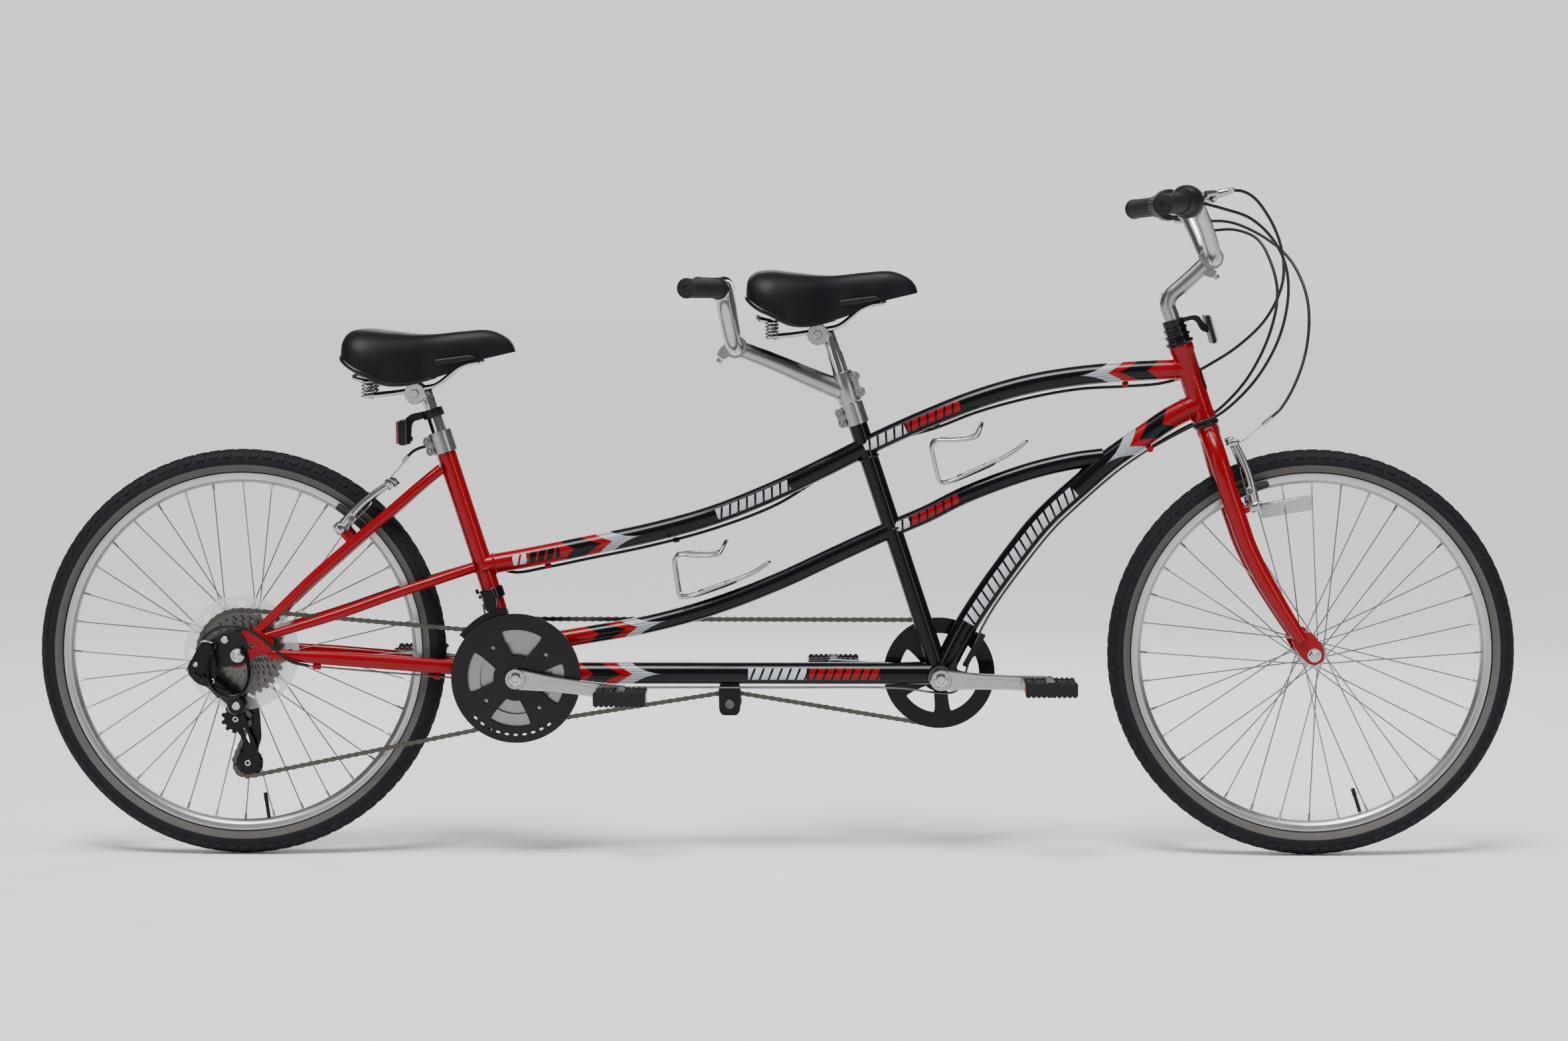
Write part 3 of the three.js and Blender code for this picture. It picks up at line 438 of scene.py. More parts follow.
# a plate with holes and rounded rims, drawn in the side view
def plate(outline, low, high, holes=(), rim=0.4):
    curve = bpy.data.curves.new("plateOutline", "CURVE")
    curve.dimensions, curve.fill_mode = "2D", "BOTH"
    curve.extrude = (high - low) / 2 - rim
    curve.bevel_depth, curve.bevel_resolution = rim, 1
    curve.offset = -rim
    for loop in (outline, *holes):
        spline = curve.splines.new("POLY")
        spline.points.add(len(loop) - 1)
        for point, (x, z) in zip(spline.points, loop):
            point.co = (x, z, 0, 1)
        spline.use_cyclic_u = True
    holder = bpy.data.objects.new("plateOutline", curve)
    bpy.context.scene.collection.objects.link(holder)
    bpy.context.view_layer.update()
    mesh = bpy.data.meshes.new_from_object(holder.evaluated_get(bpy.context.evaluated_depsgraph_get()))
    middle = (low + high) / 2
    corners = [Vector((v.co.x, middle - v.co.z, v.co.y)) for v in mesh.vertices]
    faces = [tuple(p.vertices) for p in mesh.polygons]
    bpy.data.objects.remove(holder)
    bpy.data.meshes.remove(mesh)
    bpy.data.curves.remove(curve)
    return corners, faces, None


def circle(centre, radius, count=24):
    turns = [2 * math.pi * i / count for i in range(count)]
    return [(centre[0] + radius * math.cos(t), centre[1] + radius * math.sin(t)) for t in turns]


def polar(angle, radius, centre=(0, 0)):
    turn = math.radians(angle)
    return centre[0] + radius * math.cos(turn), centre[1] + radius * math.sin(turn)


def window(inner, outer, angle, half, count=8, lean=0.7):
    far = [polar(angle - half + 2 * half * i / count, outer) for i in range(count + 1)]
    near = [polar(angle + (half - 2 * half * i / count) * lean, inner) for i in range(count + 1)]
    return rounded(far + near, 0.25)


# cuts every corner of an outline twice, so that it reads as rounded
def rounded(outline, share=0.25):
    for turn in range(2):
        made = []
        for i, b in enumerate(outline):
            a, c = outline[i - 1], outline[(i + 1) % len(outline)]
            made.append(tuple(q + (p - q) * share for p, q in zip(a, b)))
            made.append(tuple(q + (p - q) * share for p, q in zip(c, b)))
        outline = made
    return outline


chainSet = {"pitch": 12.7, "sprocketLine": -33, "ringLine": -47.5, "timingLine": 48}


def pitchOf(count):
    return chainSet["pitch"] / (2 * math.sin(math.pi / count))


def toothed(count, centre=(0, 0), pitch=chainSet["pitch"], height=4.2, turn=0.0):
    radius = pitch / (2 * math.sin(math.pi / count))
    steps = [
        (-0.5, -3.6), (-0.36, -3.3), (-0.2, 1.0), (-0.08, height), (0.08, height), (0.2, 1.0), (0.36, -3.3)
    ]
    return [polar(360 * (i + s) / count + turn, radius + h, centre) for i in range(count) for s, h in steps]


def rod(a, b, radius, sides=16, end=None, rim=0.8):
    a, b = Vector(a), Vector(b)
    length, end = (b - a).length, radius if end is None else end
    rim = min(rim, length / 3, radius / 2, end / 2)
    profile = [(radius - rim, 0), (radius, rim), (end, length - rim), (end - rim, length)]
    return lathe(profile, a, b - a, sides)


def boltHead(at, axis, radius=4.5, height=4.0):
    profile = [
        (radius, 0), (radius, height - 0.8), (radius - 0.8, height), (radius * 0.55, height),
        (radius * 0.5, height - 2.2), (0, height - 2.2)
    ]
    return lathe(profile, at, axis, 18)


def hexNut(at, axis, radius=9.0, height=7.0, hole=4.8):
    body = lathe([(radius - 1, 0), (radius, 0.8), (radius, height - 0.8), (radius - 1, height)], at, axis, 6)
    tip = Vector(at) + Vector(axis).normalized() * (height + 2.4)
    return [body, rod(at, tip, hole, 14)]


def changed(shape, matrix):
    return [matrix @ Vector(c) for c in shape[0]], shape[1], shape[2]


def moved(shape, x=0, y=0, z=0):
    return changed(shape, Matrix.Translation((x, y, z)))


def turned(shape, angle, centre=(0, 0, 0), axis=(0, 1, 0)):
    there = Matrix.Translation(centre)
    return changed(shape, there @ Matrix.Rotation(math.radians(angle), 4, Vector(axis)) @ there.inverted())


def flipped(shape):
    return changed(shape, Matrix.Diagonal((1, -1, 1, 1)))


def flat(shapes):
    for s in shapes:
        if isinstance(s, list):
            yield from flat(s)
        else:
            yield s


def addPiece(name, shapes, finish, body, stands=(), bevel=0.0, smooth=38, subdivide=0, blend=None):
    mesh = bpy.data.meshes.new(name)
    corners, faces, where = [], [], []
    for shape in flat([shapes] if isinstance(shapes, tuple) else shapes):
        start = len(corners)
        corners += [Vector(c) * mm for c in shape[0]]
        faces += [tuple(start + i for i in f) for f in shape[1]]
        where += shape[2] or [(0, 0)] * len(shape[0])
    mesh.from_pydata(corners, [], faces)
    work = bmesh.new()
    work.from_mesh(mesh)
    bmesh.ops.recalc_face_normals(work, faces=work.faces[:])
    layer = work.loops.layers.uv.new("along")
    for face in work.faces:
        face.smooth = True
        for corner in face.loops:
            corner[layer].uv = where[corner.vert.index]
    work.to_mesh(mesh)
    work.free()
    mesh.set_sharp_from_angle(angle=math.radians(smooth))
    piece = bpy.data.objects.new(name, mesh)
    bpy.context.scene.collection.objects.link(piece)
    mesh.materials.append(finish.material)
    if bevel:
        rounding = piece.modifiers.new("edges", "BEVEL")
        rounding.width, rounding.segments = bevel * mm, 2
        rounding.limit_method, rounding.angle_limit = "ANGLE", math.radians(40)
        rounding.harden_normals = False
    if subdivide:
        piece.modifiers.new("smoothing", "SUBSURF").levels = subdivide
        piece.modifiers["smoothing"].render_levels = subdivide
    if blend:
        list(blend)
        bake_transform(piece)
    else:
        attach(piece, body)
    if stands:
        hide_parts(*stands)
    return piece


def along(axisTop, axisUp, t, y=0):
    return axisTop[0] + axisUp[0] * t, y, axisTop[2] + axisUp[2] * t


rearSeatUp = Vector(joints["rear_seatpost_height"]["axis"])
frontSeatUp = Vector(joints["front_seatpost_height"]["axis"])
rearSeatTop, frontSeatTop = (-527, 0, 643.5), (129.5, 0, 688.5)


def onRearSeat(t, y=0):
    return along(rearSeatTop, rearSeatUp, t, y)


def onFrontSeat(t, y=0):
    return along(frontSeatTop, frontSeatUp, t, y)


def onHead(t, y=0):
    return along(headTop, steerAxis, t, y)


# frame
frameTubes = {
    "topTube": {
        "route": [
            (-466, 463), (-400, 475), (-300, 495), (-200, 516), (-100, 544), (0, 584), (80, 622), (160, 662),
            (240, 698), (320, 729.5), (400, 752.5), (480, 766), (560, 773), (652, 777)
        ],
        "radius": 16, "tips": [(-322, 1), (588, -1)],
        "marks": [
            (-420, -398, "silver"), (-394, -345, "black"), (-95, 20, "silver"), (140, 205, "silver"),
            (208, 292, "red")
        ],
    },
    "middleTube": {
        "route": [
            (-427, 331), (-300, 352), (-200, 370), (-100, 398), (0, 436.5), (100, 483), (187, 523),
            (240, 546), (300, 576), (400, 613), (475, 631), (520, 637)
        ],
        "radius": 14.3, "tips": [(-282, 1)], "marks": [(190, 212, "silver"), (214, 290, "red")],
    },
    "downTube": {
        "route": [
            (263, 290), (290, 345), (323, 400), (379.5, 480), (428, 540), (493, 600), (530, 632), (587, 672),
            (630, 701), (672, 722)
        ],
        "radius": 18.5, "tips": [(612, -1)], "marks": [(306, 474, "silver")],
    },
    "boom": {
        "route": [(-412, 290.5), (-300, 290.5), (-100, 290.5), (261, 290.5)], "radius": 17.5,
        "tips": [(-292, 1)], "marks": [(-45, 48, "silver"), (52, 165, "red")]
    },
}
stays = {
    "seatStay": [
        (-822, 62, 362), (-740, 52, 441), (-660, 40, 511), (-610, 33, 553), (-570, 24, 588), (-534, 12, 618)
    ],
    "midStay": [(-813, 62, 353), (-700, 50, 387), (-600, 38, 422), (-545, 31, 440), (-482, 12, 460)],
    "chainStay": [(-806, 67, 326), (-700, 54, 318), (-600, 43, 310), (-520, 35, 303), (-425, 25, 294)],
}
rearDropout = [
    (-868, 350), (-845, 364), (-816, 363), (-794, 348), (-800, 327), (-832, 321), (-846, 305), (-862, 305),
    (-872, 322)
]
hanger = [(-906, 338), (-886, 356), (-850, 366), (-836, 345), (-838, 312), (-870, 306), (-896, 308)]


def reachAt(route, x):
    path = smoothPath([(a, 0, b) for a, b in route])
    reach = 0.0
    for a, b in zip(path, path[1:]):
        if a.x <= x <= b.x:
            return (reach + (b - a).length * (x - a.x) / (b.x - a.x)) * mm
        reach += (b - a).length
    return reach * mm


def weld(a, b, radius, size=2.2):
    a, b = Vector(a), Vector(b)
    ring = [
        (radius - 1 + size * math.cos(t * math.pi / 6), size * math.sin(t * math.pi / 6))
        for t in range(-3, 4)
    ]
    return lathe([(radius - 2, -size), *ring, (radius - 2, size)], a, b - a, 40, closed=True)


def buildFrame():
    for name, tube in frameTubes.items():
        tips = [(reachAt(tube["route"], x), way) for x, way in tube["tips"]]
        route = [(x, 0, z) for x, z in tube["route"]]
        shapes = [sweep(route, tube["radius"], 40)]
        marks = [(reachAt(tube["route"], a), reachAt(tube["route"], b), tint) for a, b, tint in tube["marks"]]
        addPiece(
            "frame_" + name, shapes, tubePaint(name + "Paint", tips, tube["radius"] * mm, marks), "frame",
            ["frame"] if name == "topTube" else ()
        )
    red = [
        sweep([onRearSeat(-370), onRearSeat(0)], 15.2, 40),
        lathe(
            [
                (14.6, -128.2), (19.6, -128.2), (19.6, -117), (18, -113), (18, -14), (19.6, -11),
                (19.6, -0.2), (14.6, -0.2)
            ],
            headTop, steerAxis, 48, closed=True
        ),
        lathe(
            [(9.2, -34), (20, -34), (20.6, -33.2), (20.6, 33.2), (20, 34), (9.2, 34)],
            stokerAxle[:1] + [0] + stokerAxle[2:], (0, 1, 0), 40, closed=True
        ),
        weld(onRearSeat(-196), onRearSeat(-195), 17),
        weld((-450, 0, 466), (-440, 0, 468), 16.5),
        weld((634, 0, 776.4), (630, 0, 776.2), 16.8),
        weld((652, 0, 712), (645, 0, 708.5), 19.2),
        sweep([(-596, -34, 566), (-596, 34, 566)], 7, 20),
        sweep([(-506, -34, 303), (-506, 34, 303)], 8, 20),
    ]
    for side in (1, -1):
        route = {key: [(x, y * side, z) for x, y, z in points] for key, points in stays.items()}
        low = 65.3 if side > 0 else -71
        red += [
            sweep(route["seatStay"], [7.2, 8.8, 8.8, 8.4], 24),
            sweep(route["midStay"], [6.8, 8.2, 8.2, 8], 24),
            sweep(route["chainStay"], [7.5, 11, 11.8, 11.8, 11], 24, 6, 0.7),
            plate(
                rounded(rearDropout, 0.2), low, low + 5.7, [circle((-852, 325), 5.6), circle((-832, 340), 5)]
            ),
            rod((-672, side * 40, 500), (-690, side * 40, 521), 6.5),
            rod((-814, side * 67, 357), (-829, side * 69, 366), 4),
        ]
    red += [
        rod((594, -11, 650), (594, 11, 650), 5.5), rod((-735, -57, 306), (-722, -56, 305), 4.6, 12),
        rod((-545, -37, 288), (-535, -36, 287), 4.4, 12),
    ]
    guide = lambda x, z: rod((x - 5, 6, z), (x + 5, 6, z + 1), 4.2, 12)
    red += [guide(-365, 461), guide(555, 752)]
    addPiece("frame_rearTriangle", red, redPaint, "frame")
    black = [
        guide(-160, 503), guide(40, 586), guide(255, 686),
        rod((313, -7, 322), (313, 7, 322), 5), rod((440, -9, 536), (449, -9, 545), 4.4, 10),
        rod((440, 9, 536), (449, 9, 545), 4.4, 10),
        sweep([onFrontSeat(-420), onFrontSeat(0)], 15.2, 40),
        lathe(
            [(9.2, -34), (20, -34), (20.6, -33.2), (20.6, 33.2), (20, 34), (9.2, 34)],
            (captainAxle[0], 0, captainAxle[2]), (0, 1, 0), 40, closed=True
        ),
        plate(rounded([(-92, 222), (-58, 222), (-57, 276), (-93, 276)], 0.15), 2, 8),
        weld(onFrontSeat(-56), onFrontSeat(-55), 16.6),
        weld(onFrontSeat(-176), onFrontSeat(-175), 16.6),
    ]
    addPiece("frame_frontSeatTube", black, blackPaint, "frame")
    bracket = [plate(rounded(hanger, 0.2), -75, -70.5, [circle((-852, 325), 5.6)])]
    addPiece("frame_hanger", bracket, blackPlastic, "frame")
    guard = [
        prism([(304, 300), (334, 352), (326, 356), (297, 304)], -9, 9),
        rod((-412, -12, 265.5), (-412, 12, 265.5), 3, 10)
    ]
    addPiece("frame_cableGuides", guard, blackPlastic, "frame", bevel=1)
    badge = [(math.cos(a * math.pi / 16) * 11, math.sin(a * math.pi / 16) * 20) for a in range(32)]
    shapes = []
    for scale, lift in ((1.0, 19.0), (0.8, 19.6)):
        ring = [Vector((0, w * scale, h * scale)) for w, h in badge]
        turn = Vector((0, 0, 1)).rotation_difference(steerAxis)
        centre = Vector(onHead(-62))
        curved = []
        for p in ring:
            bend = p.y / 18.4
            curved.append(centre + turn @ Vector((lift * math.cos(bend), lift * math.sin(bend), p.z)))
        inner = [centre + turn @ Vector((lift + 0.2, 0, 0))]
        back = [centre + (c - centre) * 0.985 for c in curved]
        corners = curved + inner + back
        faces = [(i, (i + 1) % 32, 32) for i in range(32)] + [
            (i, (i + 1) % 32, 33 + (i + 1) % 32, 33 + i) for i in range(32)
        ]
        shapes.append((corners, faces + [tuple(range(33, 65))], None))
    addPiece("frame_badgeRim", shapes[:1], blackPaint, "frame")
    addPiece("frame_badgeFace", shapes[1:], brightAlloy, "frame")


buildFrame()
print("frame built")


# seats
def collarShapes(place, length=35):
    inner, outer = 15.4, 18.6
    shapes = [
        lathe(
            [(inner, 0.4), (outer, 0.4), (outer, length), (inner, length)], place(0),
            Vector(place(1)) - Vector(place(0)), 40, closed=True
        )
    ]
    back = Vector(place(1)) - Vector(place(0))
    behind = Vector((-back.z, 0, back.x))
    for t in (9, 25):
        at = Vector(place(t)) + behind * 24
        shapes.append(rod(at + Vector((0, -9, 0)), at + Vector((0, 9, 0)), 5.5, 18))
        shapes.append(boltHead(at + Vector((0, -9, 0)), (0, -1, 0), 4))
    ear = []
    for t, reach in ((2, 16), (2, 28), (33, 28), (33, 16)):
        point = Vector(place(t)) + behind * reach
        ear.append((point.x, point.z))
    shapes.append(plate(rounded(ear, 0.12), -7.5, -1.2))
    shapes.append(plate(rounded(ear, 0.12), 1.2, 7.5))
    return shapes


addPiece("collar_rear", collarShapes(onRearSeat), silver, "frame", ["rear_seat_clamp"])
addPiece("collar_front", collarShapes(onFrontSeat), silver, "frame", ["front_seat_clamp"])


def postShape(place, top):
    up = Vector(place(1)) - Vector(place(0))
    return lathe(
        [(0, -90), (12.5, -90), (12.5, top - 42), (11, top - 36), (11, top - 2), (10, top), (0, top)],
        place(0), up, 40
    )


addPiece("post_rear", postShape(onRearSeat, 104), chrome, "rear_seat", ["rear_seatpost"])
addPiece("post_front", postShape(onFrontSeat, 158), chrome, "front_seat", ["front_seatpost"])

saddle = {
    "top": [
        (-113, 70), (-111, 87), (-101, 98.5), (-77, 103), (-36, 99), (16, 94.5), (74, 99), (118, 100.5),
        (144, 90), (154, 80), (158, 69)
    ],
    "edge": [
        (-113, 62), (-108, 53), (-91, 40), (-74, 32), (-43, 17), (-14, 15), (14, 20), (50, 31), (74, 43),
        (96, 51), (132, 60), (158, 66)
    ],
    "half": [
        (-113, 56), (-111.5, 72), (-105, 86), (-85, 97), (-50, 96), (-10, 75), (25, 48), (70, 32), (120, 27),
        (148, 20), (158, 10)
    ],
    "stations": 44, "slices": 16,
}


def valueAt(points, x):
    for (x0, v0), (x1, v1) in zip(points, points[1:]):
        if x <= x1:
            f = (x - x0) / (x1 - x0)
            return v0 + (v1 - v0) * max(0.0, f)
    return points[-1][1]


def smoothCurve(points):
    path = smoothPath([(x, 0, v) for x, v in points], 8)
    return [(p.x, p.z) for p in path]


def saddleShape():
    curves = {key: smoothCurve(saddle[key]) for key in ("top", "edge", "half")}
    count, slices = saddle["stations"], saddle["slices"]
    corners, faces = [], []
    width = 2 * slices + 1
    for i in range(count + 1):
        f = i / count
        x = -112.9 + 270.8 * (0.5 - 0.5 * math.cos(math.pi * f))
        top, edge, half = (valueAt(curves[key], x) for key in ("top", "edge", "half"))
        for j in range(-slices, slices + 1):
            s = abs(j) / slices
            turn = s * math.pi / 2
            y = half * math.sin(turn) ** 0.9
            z = top - (top - edge) * (1 - math.cos(turn)) ** 1.5
            groove = math.exp(-((y / 9) ** 2)) * 3.0 * math.exp(-(((x + 20) / 75) ** 4))
            normal = Vector((0, math.sin(turn), math.cos(turn)))
            point = Vector((x, y, z)) - normal * groove
            corners.append(Vector((point.x, math.copysign(point.y, j), point.z)))
    rim = len(corners)
    for i in range(count + 1):
        row = corners[i * width : (i + 1) * width]
        edge = row[0].z
        for y in (-1, -0.5, 0, 0.5, 1):
            corners.append(Vector((row[0].x * 0.97, row[-1].y * y * 0.86, edge + 5)))
    for i in range(count):
        for j in range(width - 1):
            a = i * width + j
            faces.append((a, a + 1, a + width + 1, a + width))
        for j in range(4):
            a = rim + i * 5 + j
            faces.append((a, a + 1, a + 6, a + 5))
        faces.append((i * width, (i + 1) * width, rim + (i + 1) * 5, rim + i * 5))
        faces.append(
            (i * width + width - 1, (i + 1) * width + width - 1, rim + (i + 1) * 5 + 4, rim + i * 5 + 4)
        )
    for i in (0, count):
        outer = [i * width + j for j in range(width)]
        inner = [rim + i * 5 + j for j in range(5)]
        faces.append(tuple(outer + inner[::-1]))
    return corners, faces, None


def helix(centre, radius, low, high, turns, wire):
    count = int(turns * 16)
    points = []
    for i in range(count + 1):
        a = 2 * math.pi * turns * i / count
        points.append(
            (
                centre[0] + radius * math.cos(a), centre[1] + radius * math.sin(a),
                centre[2] + low + (high - low) * i / count
            )
        )
    return sweep(points, wire, 8, 1)


def railShapes():
    rails, springs, clamp = [], [], []
    for side in (1, -1):
        clamp.append(
            lathe([(10, 28), (11, 28), (11, 29.4), (10, 29.4)], (0, 0, 0), (0, side, 0), 28, closed=True)
        )
        rails.append(
            sweep(
                [
                    (-4, side * 22, 6), (4, side * 22, 8), (14, side * 22, 9), (34, side * 21, 14),
                    (74, side * 15, 44), (100, side * 10, 50)
                ],
                3.6, 14
            )
        )
        rails.append(
            sweep(
                [(0, side * 22, 7), (-14, side * 23, 4), (-40, side * 31, 0), (-73, side * 42, -3)], 3.6, 14
            )
        )
        rails.append(
            sweep([(-73, side * 42, 20), (-90, side * 50, 24), (-96, side * 30, 27), (-96, 0, 28)], 3.4, 12)
        )
        springs.append(helix((-73, side * 42, -3), 8.5, -4, 24, 5, 2.1))
        clamp.append(
            lathe([(0, 13), (16, 13), (17, 14.5), (17, 26.5), (16, 28), (0, 28)], (0, 0, 0), (0, side, 0), 32)
        )
        clamp += [lathe([(7.5, 28), (7.5, 33), (6.5, 34), (0, 34)], (0, 0, 0), (0, side, 0), 6)]
    rails.append(sweep([(100, -12, 50), (106, 0, 51), (100, 12, 50)], 3.4, 12))
    clamp.append(rod((0, -30, 0), (0, 30, 0), 3.4))
    clamp.append(plate(rounded([(-16, -13), (16, -13), (18, 4), (-18, 4)], 0.2), -13, 13))
    return rails, springs, clamp


for name, body, place in (("rear", "rear_seat", (-574, 738)), ("front", "front_seat", (66, 831.5))):
    put = lambda shapes: [moved(s, place[0], 0, place[1]) for s in shapes]
    pad = addPiece(
        "saddle_" + name, put([saddleShape()]), saddleVinyl, body, [name + "_saddle"],
        smooth=75
    )
    rails, springs, clamp = railShapes()
    addPiece("saddleRails_" + name, put(rails), chrome, body, [name + "_saddle_rails"])
    addPiece("saddleSprings_" + name, put(springs), chrome, body)
    addPiece("saddleClamp_" + name, put(clamp), chrome, body)
    plateShape = [prism([(-90, 50), (-30, 36), (60, 48), (100, 57), (90, 62), (-30, 46), (-88, 60)], -42, 42)]
    edge, half = smoothCurve(saddle["edge"]), smoothCurve(saddle["half"])
    piping = []
    for side in (1, -1):
        run = [(x, side * (valueAt(half, x) - 1.5), valueAt(edge, x) + 1) for x in range(-109, 30, 8)]
        piping.append(sweep([(-111, 0, 60)] + run, [4.2, 4.2, 3.6, 2.4], 14, 3))
    addPiece("saddleBase_" + name, put(plateShape), blackPlastic, body, bevel=2)
    addPiece("saddlePiping_" + name, put(piping), glossPlastic, body)
print("seats built")

# handlebars and stems
stokerGrip = {"start": (-84, 165, 905.5), "along": (-0.38, 0.925, 0.01)}
captainGrip = {"start": (650, 145, 1041), "along": (-0.361, 0.932, -0.041)}
stokerBar = [(-65, 30, 812), (-65, 44, 812), (-68, 64, 819), (-75, 92, 852), (-81, 120, 887), (-83, 142, 902)]
captainBar = [(690, 30, 953), (690, 44, 953), (686, 66, 962), (672, 98, 999), (658, 122, 1028)]


def onGrip(grip, s, side=1):
    x, y, z = (v + a * s for v, a in zip(grip["start"], grip["along"]))
    return x, y * side, z


def gripAxis(grip, side):
    x, y, z = grip["along"]
    return x, y * side, z


def barShape(route, grip, end):
    half = [(route[0][0], 15, route[0][2])] + route + [onGrip(grip, s) for s in (0, 20, 60, end)]
    whole = [(x, -y, z) for x, y, z in reversed(half)] + half
    return sweep(whole, 12.7, 28, 5)


def gripShape(grip, side, low, high, radius, ribs):
    profile = [(12.9, low), (radius + 2.5, low), (radius + 2.5, low + 3)]
    span = (high - low - 8) / ribs
    for i in range(ribs):
        s = low + 4 + span * i
        profile += [
            (radius - 0.7, s), (radius + 0.3, s + span * 0.25), (radius + 0.3, s + span * 0.7),
            (radius - 0.7, s + span * 0.9)
        ]
    profile += [
        (radius + 1, high - 4), (radius + 1, high - 1.5), (radius - 1.5, high), (5, high + 0.5),
        (4.5, high - 1), (0, high - 1)
    ]
    return lathe(profile, onGrip(grip, 0, side), gripAxis(grip, side), 40)


addPiece(
    "bar_captain", barShape(captainBar, captainGrip, 166), brightAlloy, "steering", ["handlebar"]
)
addPiece(
    "bar_stoker", barShape(stokerBar, stokerGrip, 128), brightAlloy, "front_seat",
    ["stoker_handlebar"]
)
addPiece(
    "grips_stoker", [gripShape(stokerGrip, s, 10, 132, 14.8, 16) for s in (1, -1)], gripRubber, "front_seat",
)


def clampShapes(at, half, ear, boltAt, boltAxis):
    ring = lathe(
        [(12.8, -half), (17.2, -half), (18, -half + 1), (18, half - 1), (17.2, half), (12.8, half)],
        (at[0], 0, at[1]), (0, 1, 0), 40, closed=True
    )
    return [
        ring, plate(rounded(ear, 0.18), -11, 11, rim=1), boltHead(boltAt, boltAxis, 4.6, 6),
        boltHead(
            [boltAt[0] - boltAxis[0] * 16, 0, boltAt[2] - boltAxis[2] * 16], [-v for v in boltAxis], 5, 3
        )
    ]


stemShapes = [
    sweep(
        [
            onHead(-75), onHead(20), onHead(50), onHead(66), (626, 0, 893), (640, 0, 906), (660, 0, 924),
            (681, 0, 944)
        ],
        [10.9, 11, 11, 12.4, 12.6, 12.6, 12.6], 32, 6
    ),
    *clampShapes(
        (690, 953), 20, [(674, 944), (684, 938), (700, 932), (692, 920), (676, 926), (670, 936)],
        (697, 0, 925), (0.6, 0, -0.8)
    ),
    boltHead(onHead(84), steerAxis, 5, 4),
]
addPiece("stem_captain", stemShapes, silver, "steering", ["stem"])
stokerStem = [
    lathe(
        [(12.9, 36.8), (17.6, 36.8), (18, 38), (18, 86), (17.4, 87), (12.9, 87)], frontSeatTop, frontSeatUp,
        40, closed=True
    ),
    sweep([(104, 0, 743), (60, 0, 761), (0, 0, 786.5), (-54, 0, 807.5)], [17, 15.5, 14, 13], 32, 4),
    *clampShapes(
        (-65, 812), 20, [(-78, 818), (-70, 800), (-84, 790), (-96, 800), (-88, 812)], (-89, 0, 792),
        (-0.5, 0, -0.86)
    ),
    plate(rounded([(106, 770), (126, 771), (137, 738), (121, 727)], 0.15), -12, -1.5),
    plate(rounded([(106, 770), (126, 771), (137, 738), (121, 727)], 0.15), 1.5, 12),
]
for x, z in ((124, 765), (133, 741)):
    stokerStem += [
        rod((x, -13, z), (x, 13, z), 8.4, 24), boltHead((x, -13, z), (0, -1, 0), 5, 4),
        boltHead((x, 13, z), (0, 1, 0), 5, 4)
    ]
addPiece("stem_stoker", stokerStem, silver, "front_seat", ["stoker_stem"])

headset = [
    lathe(
        [(14.6, -128.4), (19.8, -129), (21, -131), (20.5, -135), (18, -137.5), (14, -138)], headTop,
        steerAxis, 40
    ),
    lathe(
        [
            (13, 0), (20, 0.2), (22.5, 3), (22, 7), (18.5, 9), (18, 12), (20.5, 14), (20.5, 18), (17.5, 20),
            (17.5, 23), (19, 24.5), (19, 29.5), (17, 30.5), (13, 30.5)
        ],
        headTop, steerAxis, 40
    ),
]
addPiece("headset_rings", headset, glossPlastic, "frame")


def gripFrame(side, tilt):
    axis = Vector(gripAxis(captainGrip, side))
    level = Vector((0.932, side * 0.361, 0))
    up = level.cross(axis).normalized() * side
    ahead = level * math.cos(math.radians(tilt)) + up * math.sin(math.radians(tilt))
    place = lambda s, forward, lift=0.0: Vector(
        onGrip(captainGrip, s, side)
    ) + ahead * forward + ahead.cross(axis).normalized() * lift * side
    return axis, ahead, place


